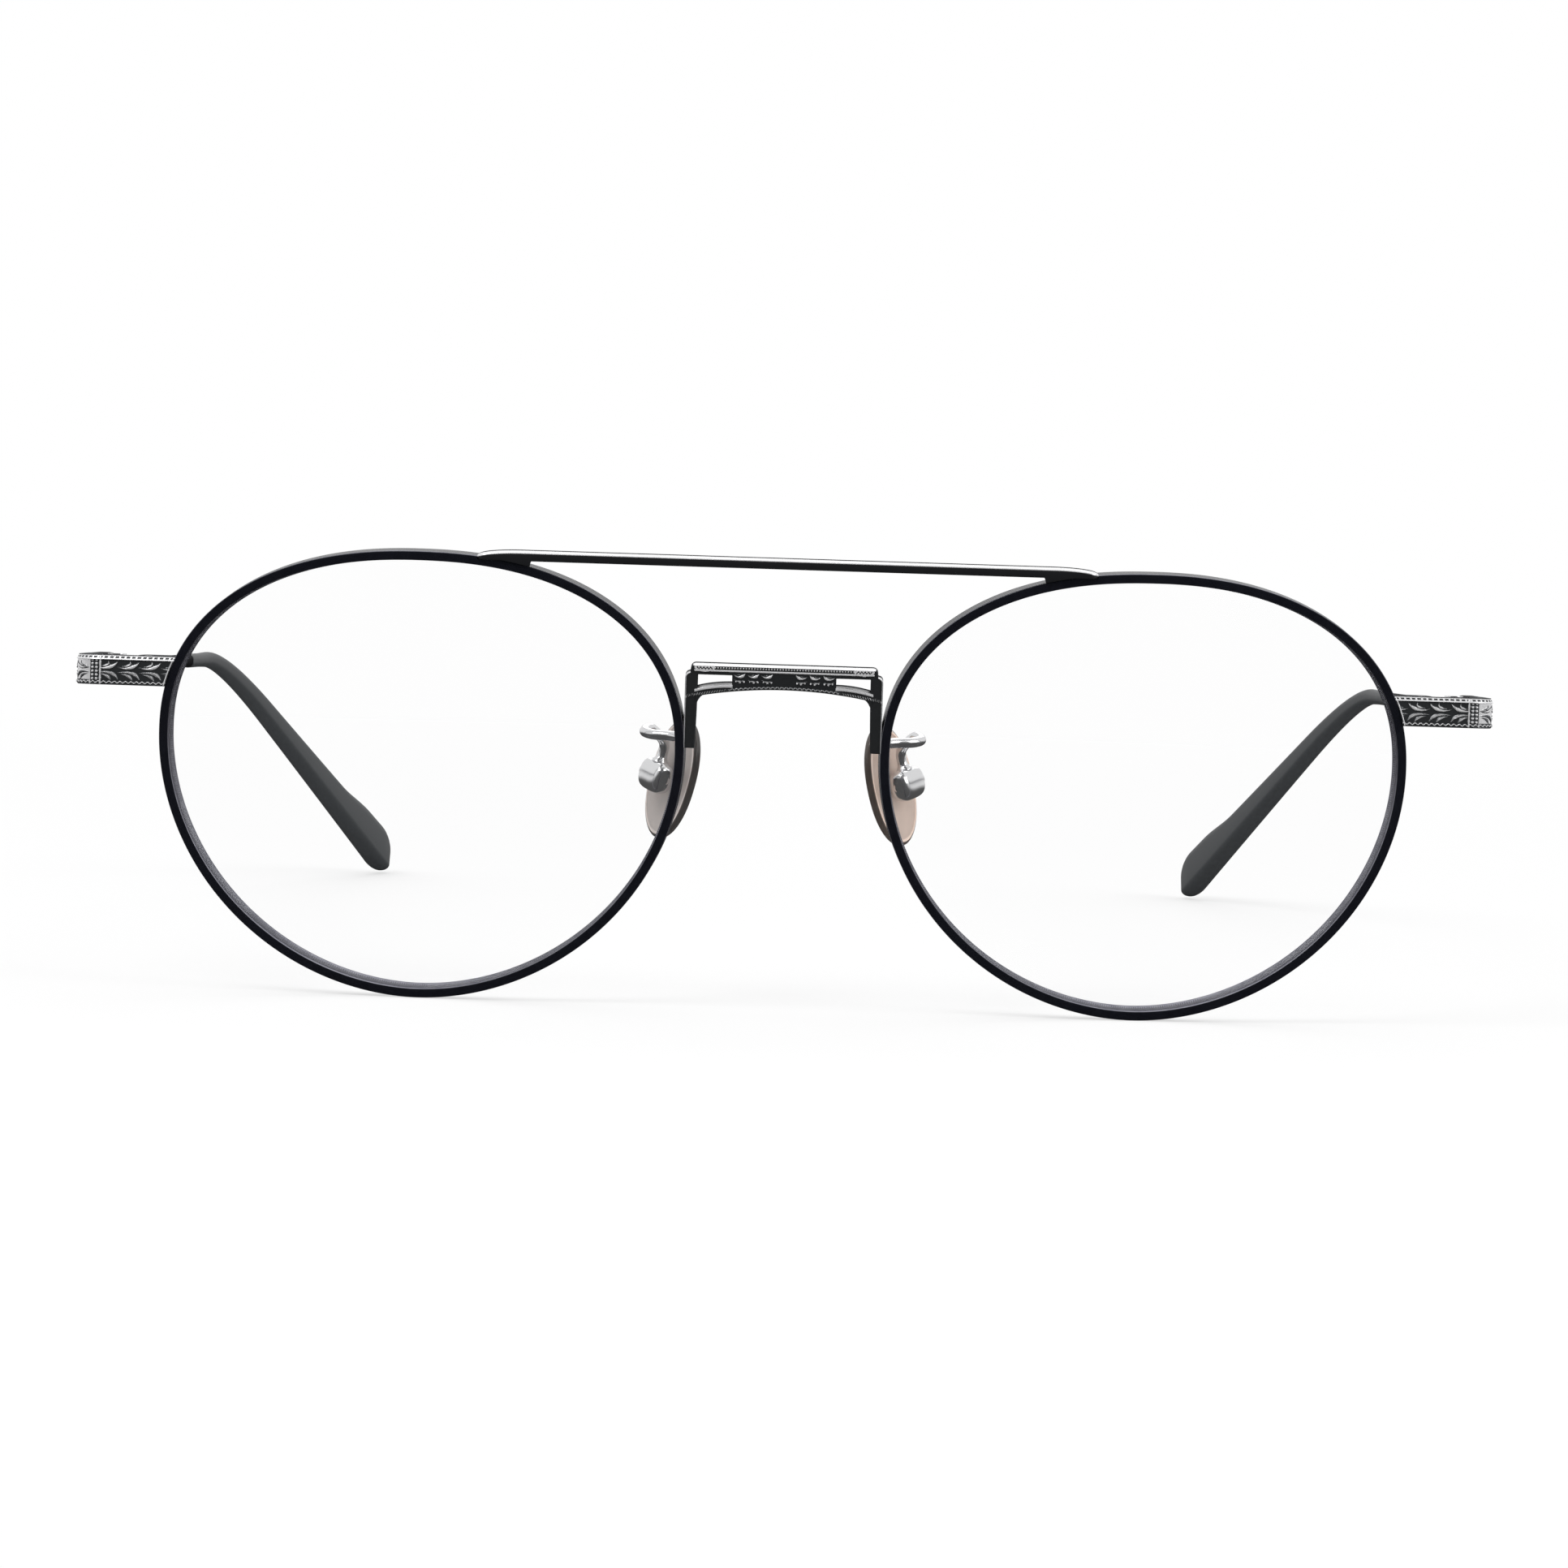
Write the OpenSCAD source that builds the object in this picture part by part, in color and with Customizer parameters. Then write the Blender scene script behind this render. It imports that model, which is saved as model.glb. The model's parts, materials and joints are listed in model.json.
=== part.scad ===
// Oval metal eyeglasses with a top bar, open, resting on the rims and the temple tips.
// +X is the wearer's left, -Y is the side that faces forward, +Z is up.
// The origin lies under the middle of the whole frame, on the surface it rests on.

/* [Lenses] */
// Width of a lens across its bevel
lens_w = 49.4; // [45:0.1:54]
// Height of a lens across its bevel
lens_h = 42; // [38:0.1:46]
// Distance between the two lenses at the nose
nose_gap = 20; // [18:0.1:24]
// Height of the widest line of a lens above its centre
widest_up = 3; // [1:0.1:5]
// Squareness of the upper outer shoulder, where 2 is an ellipse
outer_shoulder = 2.25; // [2:0.05:2.8]
// Squareness of the upper shoulder at the nose
nose_shoulder = 2.25; // [1.9:0.05:2.6]
// Squareness of the lower half
lower_half = 1.95; // [1.8:0.05:2.4]
// Thickness of a lens
lens_t = 1.6; // [1.2:0.1:2]
// Radius of the curve that the front of the lenses follows
base_r = 175; // [120:5:300]
// Turn of each lens backwards from the nose, in degrees
wrap = 4; // [1:0.5:7]

/* [Rims] */
// Depth of a rim from front to back
rim_depth = 2.35; // [2.2:0.05:3]
// Height of the rim's outer wall above the lens edge
rim_out = 0.65; // [0.5:0.05:0.9]
// Height of the front lip that holds the lens
front_lip = 0.4; // [0.3:0.05:0.5]
// Height of the rear lip that holds the lens
rear_lip = 0.4; // [0.3:0.05:0.6]
// Width of the bare bevelled edges
rim_bevel = 0.13; // [0.08:0.01:0.18]
// Width of the lens groove
groove_w = 0.9; // [0.7:0.05:1.1]
// Gap where the rim opens to take the lens
split_gap = 0.2; // [0.1:0.05:0.4]

/* [Posture at rest] */
// Forward lean of the rims' top, in degrees
front_tilt = 5.3; // [2:0.1:9]
// Fall of the temples towards the tips, in degrees
temple_fall = 2; // [0.5:0.1:4]
// Turn of the temples inwards, in degrees
temple_toe = 2.1; // [0:0.1:4]

/* [Endpieces] */
// Distance that an endpiece reaches outwards past the rim
end_reach = 9.25; // [8.3:0.05:12]
// Height of the endpieces above the lens centre
end_up = 9; // [7:0.1:12]
// Height of an endpiece
end_h = 2.9; // [2.4:0.1:3.2]
// Thickness of an endpiece
end_t = 1.6; // [1.3:0.1:1.9]
// Length of an endpiece from its front face to the temple
end_len = 10.5; // [9.5:0.1:13]
// Outer radius of its corner
end_corner = 2.5; // [2:0.1:3.5]
// Distance that its face stands in front of the rim
end_proud = 0.15; // [0:0.05:0.5]
// Width of its bevelled edges
end_edge = 0.2; // [0.1:0.05:0.4]

/* [Hinges] */
// Radius of the knuckles
knuckle_r = 1.3; // [1.1:0.05:1.5]
// Height of the hinge
hinge_h = 2.3; // [2.1:0.1:3.4]
// Radius of the hinge screw
hinge_screw_r = 0.6; // [0.5:0.05:0.7]
// Length of a hinge leaf from the axis
leaf_len = 5.5; // [4.5:0.1:6.5]
// Thickness of a hinge leaf
leaf_t = 0.8; // [0.6:0.05:0.9]

/* [Closing blocks] */
// Length of a closing block from the rim outwards
block_len = 3.6; // [3:0.1:4]
// Depth of a closing block from front to back
block_depth = 2.4; // [2.1:0.1:2.8]
// Radius of the closing screw
block_screw_r = 0.6; // [0.45:0.05:0.7]

/* [Top bar] */
// Half of the bar's length, to its rounded tip
bar_half = 29.6; // [28:0.1:31]
// Half of the free span between its feet
bar_span = 24.4; // [22:0.1:24.8]
// Height of the bar's top above the rims' top
bar_rise = 0.3; // [0.1:0.05:0.8]
// Thickness of the bar
bar_h = 0.86; // [0.7:0.02:1.1]
// Depth of the bar from front to back
bar_depth = 2.4; // [2:0.1:2.8]
// Distance that the bar stands in front of the lens centre
bar_front = 0.8; // [0.4:0.1:1.2]

/* [Bridge] */
// Height of the bridge's top above the lens centre
bridge_top = 11.75; // [11.45:0.1:13]
// Height of its lower edge at the middle
bridge_low = 9.55; // [9:0.05:10.2]
// Depth of the bridge from front to back
bridge_depth = 2.4; // [2:0.1:2.8]
// Distance that the bridge stands in front of the lens centre
bridge_front = 1.2; // [0.8:0.1:1.6]
// Width of a leg
leg_w = 1.2; // [1:0.05:1.4]
// Height of the legs' feet above the lens centre
leg_foot = 3.7; // [2.5:0.1:4.5]
// Radius of the arched lower edge
arch_r = 43; // [36:1:60]
// Length of the pierced windows
window_w = 3.15; // [2.5:0.05:3.4]

/* [Nose pads] */
// Length of a pad
pad_len = 12; // [10:0.1:13.5]
// Width of a pad
pad_w = 6.9; // [6.3:0.1:8]
// Thickness of a pad at its middle
pad_t = 1.5; // [1.3:0.1:2.2]
// Distance of the pad screws from the middle of the frame
pad_x = 12.2; // [11.5:0.1:13]
// Depth of the pad screws behind the lens centre
pad_back = 7.9; // [7.5:0.1:9]
// Height of the pad screws above the lens centre
pad_up = -0.5; // [-1.5:0.05:0.5]
// Splay of the pads, in degrees
pad_splay = 55; // [35:1:60]
// Lean of the pads, tops towards the nose, in degrees
pad_lean = 14; // [5:1:20]
// Length of a pad box along its screw
box_w = 3.6; // [3:0.1:4]
// Depth of a pad box
box_depth = 2.3; // [2.1:0.1:2.8]
// Height of a pad box
box_h = 3.1; // [3:0.1:4]
// Radius of the wire of a pad arm
arm_wire_r = 0.5; // [0.4:0.05:0.6]
// Radius of a pad screw
pad_screw_r = 0.4; // [0.3:0.05:0.45]

/* [Temples] */
// Length of a temple along its middle line
temple_len = 145; // [140:1:150]
// Straight length from the hinge to the ear bend
temple_straight = 80; // [74:1:88]
// Radius of the ear bend
bend_r = 45; // [30:1:55]
// Inward lean of the ear bend, in degrees
bend_lean = 31; // [20:1:40]
// Height of the slim part of a temple
slim_h = 1.4; // [1.2:0.05:1.8]
// Thickness of the slim part of a temple
slim_t = 1.3; // [1.2:0.05:1.6]
// Distance from the hinge to the tip sleeve
sleeve_at = 66; // [55:1:80]
// Height of the tip near its end
tip_h = 4.6; // [4:0.1:5.6]
// Thickness of the tip near its end
tip_t = 2.4; // [2:0.1:3]

/* [Hidden] */
$fn = 48;

// Clearances between pieces, and how far a cutting shape runs past what it cuts
fixed_gap = 0.01;
seat = 0.02;
run_gap = 0.03;
turn_gap = 0.05;
bevel_gap = 0.08;
past = 1;
far_past = 12;

// Lens outline: four quarters of a superellipse that share their widest line
rim_steps = 80;
pitch = lens_w + nose_gap;
half_w = lens_w / 2;
up_h = lens_h / 2 - widest_up;
low_h = lens_h / 2 + widest_up;

function sag(u, v) = base_r - sqrt(base_r * base_r - u * u - v * v);
function squareness(t) = sin(t) < 0 ? lower_half : cos(t) > 0 ? outer_shoulder : nose_shoulder;
function reach(t) = sin(t) < 0 ? low_h : up_h;
function edge_point(t) = let (n = 2 / squareness(t))
    [half_w * sign(cos(t)) * pow(abs(cos(t)), n),
     widest_up + reach(t) * sign(sin(t)) * pow(abs(sin(t)), n)];
function edge_normal(t) = let (n = 2 - 2 / squareness(t),
    g = [sign(cos(t)) * pow(abs(cos(t)), n) / half_w,
         sign(sin(t)) * pow(abs(sin(t)), n) / reach(t)]) g / norm(g);
function edge_at(t, out) = edge_point(t) + out * edge_normal(t);
function edge_depth(t) = let (c = edge_point(t)) sag(c[0], c[1]);

// The angle at which the outline's upper part reaches a given height
function at_height(v, n) = asin(pow((v - widest_up) / up_h, n / 2));

// The rim opens where its outer wall is as high as the endpiece
split_first = at_height(end_up, outer_shoulder);
split_t = at_height(end_up - rim_out * edge_normal(split_first)[1], outer_shoulder);
split_half = split_gap / norm(edge_point(split_t + 1) - edge_point(split_t - 1));
stations = [for (i = [0:rim_steps])
    split_t + split_half + i * (360 - 2 * split_half) / rim_steps];

// Rim section, as height above the lens edge and depth
rim_back = rim_depth / 2;
rim_profile = [
    [rim_bevel - front_lip, -rim_back], [rim_out - rim_bevel, -rim_back],
    [rim_out, rim_bevel - rim_back], [rim_out, rim_back - rim_bevel],
    [rim_out - rim_bevel, rim_back], [rim_bevel - rear_lip, rim_back],
    [-rear_lip, rim_back - rim_bevel], [-rear_lip, groove_w / 2],
    [seat, 0], [-front_lip, -groove_w / 2], [-front_lip, rim_bevel - rim_back]];

// Places in the front's own frame and in the frame of the whole object
function lens_to_front(p) = [pitch / 2 + p[0] * cos(wrap) - p[1] * sin(wrap),
    p[0] * sin(wrap) + p[1] * cos(wrap), p[2]];
function tilt_y(p) = p[1] * cos(front_tilt) - p[2] * sin(front_tilt);
function tilt_z(p) = p[1] * sin(front_tilt) + p[2] * cos(front_tilt);
function rim_point(t, p) = let (q = edge_at(t, p[0])) [q[0], edge_depth(t) + p[1], q[1]];
rim_low = min([for (t = stations, p = rim_profile) tilt_z(lens_to_front(rim_point(t, p)))]);
front_z = -rim_low;

// Endpiece and hinge axis
end_face = lens_to_front(rim_point(split_t, [rim_out, -rim_back]))[1] - end_proud;
end_spot = [0, end_face, end_up];
hinge_in = knuckle_r + turn_gap;
rim_wall_x = lens_to_front(rim_point(split_t, [rim_out, 0]))[0];
hinge_x = rim_wall_x + end_reach - end_t - hinge_in;
hinge_rel = [hinge_x, tilt_y(end_spot) + end_len * cos(temple_fall),
    tilt_z(end_spot) - end_len * sin(temple_fall)];
arm_x = hinge_in + end_t / 2;

// Temple line: straight, an arc about the ear, then straight to the tip
bend_dir = [-sin(bend_lean), 0, -cos(bend_lean)];
flat_len = 8;
taper_end = 30;
core_trim = 0.5;
core_h = slim_h - core_trim;
core_t = slim_t - core_trim;
core_end = temple_len - 17;
sleeve_wall = 0.05;
tip_round = 3;
tip_growth = temple_straight - 6;
arc_parts = 6;
corner_share = 0.32;
end_width = 0.25;

function arc_len(bend) = bend_r * bend * PI / 180;
function turned(s, bend) = max(0, min(bend, (s - temple_straight) / bend_r * 180 / PI));
function along(s, bend) = let (a = turned(s, bend)) [0, cos(a), 0] + bend_dir * sin(a);
function arm_at(s, bend) = let (a = turned(s, bend), rest = s - temple_straight - arc_len(bend))
    [arm_x, min(s, temple_straight), 0] + [0, bend_r * sin(a), 0]
    + bend_dir * bend_r * (1 - cos(a)) + max(0, rest) * along(s, bend);
function toed(p, s) = let (a = s > flat_len ? temple_toe : 0, q = p - [arm_x, flat_len, 0])
    [arm_x + q[0] * cos(a) - q[1] * sin(a), flat_len + q[0] * sin(a) + q[1] * cos(a), q[2]];
function section(t, h) = let (c = corner_share * min(t, h))
    [for (k = [0:3], a = [0, 45, 90])
        let (sx = cos(k * 90 + 45) > 0 ? 1 : -1, sy = sin(k * 90 + 45) > 0 ? 1 : -1)
        [sx * (t / 2 - c) + c * cos(k * 90 + a), sy * (h / 2 - c) + c * sin(k * 90 + a)]];
function arm_ring(s, t, h, bend) = let (d = along(s, bend), x = [1, 0, 0],
    n = (x - d[0] * d) / norm(x - d[0] * d), v = cross(d, n), c = arm_at(s, bend))
    [for (p = section(t, h)) toed(c + p[0] * n + p[1] * v, s)];

function mix(a, b, f) = a + (b - a) * max(0, min(1, f));
function tip_fraction(s) = (s - tip_growth) / (temple_len - tip_round - tip_growth);
function rounding(s) = let (f = (s - temple_len + tip_round) / tip_round)
    f <= 0 ? 1 : sqrt(max(end_width * end_width, 1 - f * f));
sleeve_h = slim_h + 2 * sleeve_wall;
sleeve_t = slim_t + 2 * sleeve_wall;
sleeve_stations = concat([sleeve_at + seat, (sleeve_at + tip_growth) / 2],
    [for (i = [0:12]) mix(tip_growth, temple_len - tip_round, i / 12)],
    [for (f = [0.4, 0.7, 0.9, 1]) temple_len - tip_round * (1 - f)]);
function sleeve_rings(bend) = [for (s = sleeve_stations)
    arm_ring(s, mix(sleeve_t, tip_t, tip_fraction(s)) * rounding(s),
        mix(sleeve_h, tip_h, tip_fraction(s)) * rounding(s), bend)];
function arc_stops(bend) = [for (i = [0:arc_parts]) temple_straight + i * arc_len(bend) / arc_parts];

// The ear bend is as steep as it takes to lay the tips on the table
function temple_z(p) = front_z + hinge_rel[2] + p[2] * cos(temple_fall) - p[1] * sin(temple_fall);
function temple_y(p) = hinge_rel[1] + p[1] * cos(temple_fall) + p[2] * sin(temple_fall);
function tip_low(bend) = min([for (r = sleeve_rings(bend), p = r) temple_z(p)]);
function find_bend(lo, hi, n) = let (mid = (lo + hi) / 2) n == 0 ? mid
    : tip_low(mid) > 0 ? find_bend(mid, hi, n - 1) : find_bend(lo, mid, n - 1);
bend = find_bend(5, 85, 22);

// The frame is centred over the origin from the bar's front to the tips
bar_top = lens_h / 2 + rim_out + bar_rise;
frame_front = tilt_y([0, -bar_front, bar_top]);
frame_rear = max([for (r = sleeve_rings(bend), p = r) temple_y(p)]);
front_y = -(frame_front + frame_rear) / 2;

// Helpers
module skin(rings) {
    n = len(rings[0]);
    m = len(rings);
    walls = [for (i = [0:m - 2], j = [0:n - 1])
        let (a = i * n + j, b = i * n + (j + 1) % n, c = a + n, d = b + n)
        each [[a, d, b], [a, c, d]]];
    first = [for (j = [0:n - 1]) j];
    last = [for (j = [n - 1:-1:0]) (m - 1) * n + j];
    polyhedron([for (r = rings) each r], concat(walls, [first, last]), convexity = 8);
}
module on_side(s) {
    if (s > 0) children();
    else mirror([1, 0, 0]) children();
}
module at_front() {
    translate([0, front_y, front_z]) rotate([front_tilt, 0, 0]) children();
}
module at_lens() {
    translate([pitch / 2, 0, 0]) rotate([0, 0, wrap]) children();
}
module at_hinge() {
    translate([0, front_y, front_z]) translate(hinge_rel) rotate([-temple_fall, 0, 0]) children();
}
module at_pad() {
    translate([pad_x, pad_back, pad_up]) rotate([0, -pad_lean, 0]) rotate([0, 0, pad_splay])
        children();
}
// The space that a rim's outer wall encloses, for cutting the pieces brazed to it
module rim_space() {
    at_lens() translate([0, far_past, 0]) rotate([90, 0, 0])
        linear_extrude(height = 2 * far_past) polygon([for (t = stations) edge_at(t, rim_out)]);
}

// Rims and lenses
module rim() {
    at_front() at_lens() skin([for (t = stations) [for (p = rim_profile) rim_point(t, p)]]);
}
module lens() {
    half = lens_t / 2;
    inset = rear_lip + 2 * bevel_gap;
    inner = 0.1;
    middle = 0.4;
    outer = 0.7;
    face = function(k, d) [for (t = stations) let (q = edge_at(t, -inset) * k)
        [q[0], (k > inner ? sag(q[0], q[1]) : 0) + d, q[1]]];
    brim = function(out, d) [for (t = stations) rim_point(t, [out, d])];
    at_front() at_lens() skin([face(inner, half), face(middle, half), face(outer, half),
        brim(-inset, half), brim(-inset, groove_w / 2), brim(seat - bevel_gap, 0),
        brim(-inset, -groove_w / 2), brim(-inset, -half),
        face(outer, -half), face(middle, -half), face(inner, -half)]);
}

// Top bar: a flat strip whose feet lie on the rims
module top_bar_outline() {
    tip_rise = 0.55;
    tip_run = 4.2;
    foot_low = 3;
    half = concat([[bar_span, bar_top - bar_h], [bar_span, bar_top - foot_low],
        [bar_half, bar_top - foot_low]],
        [for (a = [90:-15:0])
            [bar_half - tip_run + tip_run * sin(a), bar_top - tip_rise + tip_rise * cos(a)]]);
    last = len(half) - 1;
    polygon(concat(half, [for (i = [last:-1:0]) [-half[i][0], half[i][1]]]));
}
module top_bar_solid() {
    at_front() difference() {
        translate([0, bar_depth - bar_front, 0]) rotate([90, 0, 0])
            linear_extrude(height = bar_depth) top_bar_outline();
        for (s = [-1, 1]) on_side(s) rim_space();
    }
}

// Bridge: an engraved plate on two legs, pierced at both ends
leg_bite = 0.1;
leg_out = pitch / 2 - half_w - rim_out + leg_bite;
leg_in = leg_out - leg_w;
rail_in = 0.5;
rail_h = 0.75;
rail_round = 0.5;
arch_mid = bridge_low - arch_r;
module rounded_block(half, top, radius) {
    translate([-half, leg_foot]) square([2 * half, top - radius - leg_foot]);
    translate([radius - half, leg_foot]) square([2 * (half - radius), top - leg_foot]);
    for (s = [-1, 1]) translate([s * (half - radius), top - radius]) circle(radius);
}
module arch_opening() {
    fillet = 0.6;
    reach = leg_in - fillet;
    fillet_up = arch_mid + sqrt(pow(arch_r - fillet, 2) - reach * reach);
    meet = reach * arch_r / (arch_r - fillet);
    intersection() {
        translate([-meet, leg_foot - past]) square([2 * meet, bridge_top - leg_foot]);
        translate([0, arch_mid]) circle(arch_r, $fn = 180);
    }
    translate([-leg_in, leg_foot - past]) square([2 * leg_in, fillet_up - leg_foot + past]);
    for (s = [-1, 1]) translate([s * reach, fillet_up]) circle(fillet);
}
module window() {
    strap_r = 13;
    strap_h = 0.4;
    top_rail = 0.9;
    window_in = 0.15;
    inner = leg_in - window_w - window_in;
    difference() {
        translate([inner, bridge_low - strap_h])
            square([window_w, bridge_top - top_rail - bridge_low + strap_h]);
        translate([inner, bridge_low + strap_h - strap_r]) circle(strap_r, $fn = 96);
    }
}
module bridge_outline() {
    difference() {
        union() {
            rounded_block(leg_out, bridge_top - rail_h, rail_round);
            rounded_block(leg_out - rail_in, bridge_top, rail_round);
        }
        arch_opening();
        for (s = [-1, 1]) scale([s, 1]) window();
    }
}
module bridge_solid() {
    at_front() difference() {
        translate([0, bridge_depth - bridge_front, 0]) rotate([90, 0, 0])
            linear_extrude(height = bridge_depth) bridge_outline();
        for (s = [-1, 1]) on_side(s) rim_space();
    }
}

// Endpiece: a bar bent round the corner, in the frame of the hinge
module end_section() {
    t = end_t / 2;
    h = end_h / 2;
    polygon([[-t, end_edge - h], [end_edge - t, -h], [t - end_edge, -h], [t, end_edge - h],
        [t, h - end_edge], [t - end_edge, h], [end_edge - t, h], [-t, h - end_edge]]);
}
module endpiece() {
    mid_r = end_corner - end_t / 2;
    corner = [arm_x - mid_r, end_corner - end_len, 0];
    front_run = hinge_x + corner[0] - rim_wall_x + past;
    difference() {
        at_hinge() {
            translate([arm_x, -turn_gap, 0]) rotate([90, 0, 0])
                linear_extrude(height = -corner[1] - turn_gap) end_section();
            translate(corner) rotate([0, 0, -90]) rotate_extrude(angle = 90)
                translate([mid_r, 0]) end_section();
            translate(corner - [front_run, mid_r, 0]) rotate([90, 0, 90])
                linear_extrude(height = front_run) end_section();
        }
        at_front() rim_space();
    }
}

// Closing blocks: they hold the two ends of the rim round the lens
block_lean = front_tilt + temple_fall;
block_front = end_face + end_t / cos(block_lean) + end_h / 2 * tan(block_lean);
block_screw_y = block_front + block_depth / 2;
block_screw_x = rim_wall_x + block_len - block_depth / 2;
block_under = 0.45;
block_h = end_h / 2 - block_under;
module block(upper) {
    low = upper ? split_gap / 2 : -block_h;
    height = block_h - split_gap / 2;
    bore = block_screw_r + (upper ? fixed_gap : run_gap);
    at_front() difference() {
        union() {
            translate([rim_wall_x - past, block_front, end_up + low])
                cube([block_screw_x - rim_wall_x + past, block_depth, height]);
            translate([block_screw_x, block_screw_y, end_up + low])
                cylinder(r = block_depth / 2, h = height);
        }
        rim_space();
        translate([block_screw_x, block_screw_y, end_up - 2 * block_h])
            cylinder(r = bore, h = 4 * block_h);
    }
}
slot_w = 0.24;
slot_deep = 0.25;
module closing_screw() {
    head_h = 0.5;
    head_rim = 0.4;
    head_r = block_screw_r + head_rim;
    at_front() translate([block_screw_x, block_screw_y, end_up]) difference() {
        union() {
            translate([0, 0, -block_h]) cylinder(r = block_screw_r, h = 2 * block_h);
            translate([0, 0, -block_h - head_h]) cylinder(r = head_r, h = head_h);
        }
        translate([-head_r, -slot_w / 2, slot_deep - block_h - head_h - past])
            cube([2 * head_r, slot_w, past]);
    }
}

// Hinge: two knuckles on the endpiece, one on the temple, a screw through all three
knuckle_h = (hinge_h - 2 * turn_gap) / 3;
leaf_margin = 0.15;
leaf_h = end_h - 2 * leaf_margin;
leaf_x = hinge_in - leaf_t;
sweep = knuckle_r + 2 * turn_gap;
module leaf(from, to) {
    translate([leaf_x, from, -leaf_h / 2]) cube([leaf_t, to - from, leaf_h]);
}
module front_hinge() {
    bore = hinge_screw_r + fixed_gap;
    inner = hinge_h / 2 - knuckle_h;
    web_end = knuckle_r / 4;
    at_hinge() {
        leaf(-leaf_len, -sweep);
        difference() {
            for (s = [-1, 1]) {
                translate([0, 0, s * (hinge_h - knuckle_h) / 2])
                    cylinder(r = knuckle_r, h = knuckle_h, center = true);
                translate([leaf_x, -sweep - seat, s > 0 ? inner : -leaf_h / 2])
                    cube([leaf_t, sweep + seat - web_end, leaf_h / 2 - inner]);
            }
            cylinder(r = bore, h = hinge_h + past, center = true);
        }
    }
}
module temple_hinge() {
    bore = hinge_screw_r + run_gap;
    at_hinge() {
        leaf(sweep, leaf_len);
        difference() {
            union() {
                cylinder(r = knuckle_r, h = knuckle_h, center = true);
                translate([leaf_x, 0, seat - knuckle_h / 2])
                    cube([leaf_t, sweep + seat, knuckle_h - 2 * seat]);
            }
            cylinder(r = bore, h = hinge_h, center = true);
        }
    }
}
module hinge_screw() {
    head_h = 0.3;
    head_rim = 0.3;
    head_r = hinge_screw_r + head_rim;
    at_hinge() difference() {
        union() {
            translate([0, 0, -hinge_h / 2]) cylinder(r = hinge_screw_r, h = hinge_h);
            translate([0, 0, hinge_h / 2]) cylinder(r = head_r, h = head_h);
        }
        translate([-head_r, -slot_w / 2, hinge_h / 2 + head_h / 2])
            cube([2 * head_r, slot_w, past]);
    }
}

// Temple: a bar that slims down, with a thin core that goes into the tip
module temple() {
    halfway = mix(flat_len, taper_end, 0.5);
    slimmed = 0.6;
    at_hinge() skin(concat(
        [arm_ring(turn_gap, end_t, end_h, bend), arm_ring(flat_len, end_t, end_h, bend),
         arm_ring(halfway, mix(end_t, slim_t, slimmed), mix(end_h, slim_h, slimmed), bend),
         arm_ring(taper_end, slim_t, slim_h, bend), arm_ring(sleeve_at, slim_t, slim_h, bend)],
        [for (s = concat([sleeve_at], arc_stops(bend), [core_end]))
            arm_ring(s, core_t, core_h, bend)]));
}
module tip() {
    fit = 2 * run_gap;
    stops = arc_stops(bend);
    inner = [for (s = concat([core_end + bevel_gap], [for (i = [arc_parts:-1:0]) stops[i]],
        [sleeve_at + seat])) arm_ring(s, core_t + fit, core_h + fit, bend)];
    at_hinge() skin(concat(inner, sleeve_rings(bend)));
}

// Nose pads: a domed plate whose lug is held in a slotted box by a screw
box_gap = 0.45;
lug_t = 1;
lug_r = 0.8;
plate_at = box_depth / 2 + box_gap;
plate_lip = 0.2;
module nose_pad() {
    steps = 28;
    plate = 0.94;
    fullness = 0.9;
    oval = function(k, n) [for (i = [0:steps - 1]) let (a = -i * 360 / steps)
        [pad_w / 2 * k * cos(a), n, pad_len / 2 * k * sign(sin(a)) * pow(abs(sin(a)), fullness)]];
    dome = [[1, 0.45], [0.9, 0.68], [0.7, 0.86], [0.4, 0.97], [0.1, 1]];
    at_front() at_pad() difference() {
        union() {
            skin(concat([oval(plate, plate_at)], [oval(1, plate_at + plate_lip)],
                [for (d = dome) oval(d[0], plate_at + pad_t * d[1])]));
            translate([-lug_t / 2, 0, -lug_r]) cube([lug_t, plate_at + plate_lip, 2 * lug_r]);
            rotate([0, 90, 0]) cylinder(r = lug_r, h = lug_t, center = true);
        }
        rotate([0, 90, 0]) cylinder(r = pad_screw_r + run_gap, h = 2 * lug_t, center = true);
    }
}
box_round = 0.8;
module pad_box() {
    slot = lug_t + 4 * turn_gap;
    rock_room = 0.3;
    room = lug_r + rock_room;
    half = [box_w / 2 - box_round, box_depth / 2 - box_round, box_h / 2 - box_round];
    at_front() at_pad() difference() {
        hull() for (x = [-1, 1], y = [-1, 1], z = [-1, 1])
            translate([x * half[0], y * half[1], z * half[2]]) sphere(box_round, $fn = 20);
        translate([-slot / 2, -lug_r - turn_gap, -room]) cube([slot, box_depth, 2 * room]);
        rotate([0, 90, 0]) cylinder(r = pad_screw_r + fixed_gap, h = 2 * box_w, center = true);
    }
}
module pad_screw() {
    head_rim = 0.2;
    head_r = pad_screw_r + head_rim;
    head_h = 0.35;
    at_front() at_pad() rotate([0, 90, 0]) difference() {
        union() {
            cylinder(r = pad_screw_r, h = box_w, center = true);
            translate([0, 0, box_w / 2]) cylinder(r = head_r, h = head_h);
        }
        translate([-head_r, -slot_w / 2, box_w / 2 + head_h - slot_deep / 2])
            cube([2 * head_r, slot_w, past]);
    }
}

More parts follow.
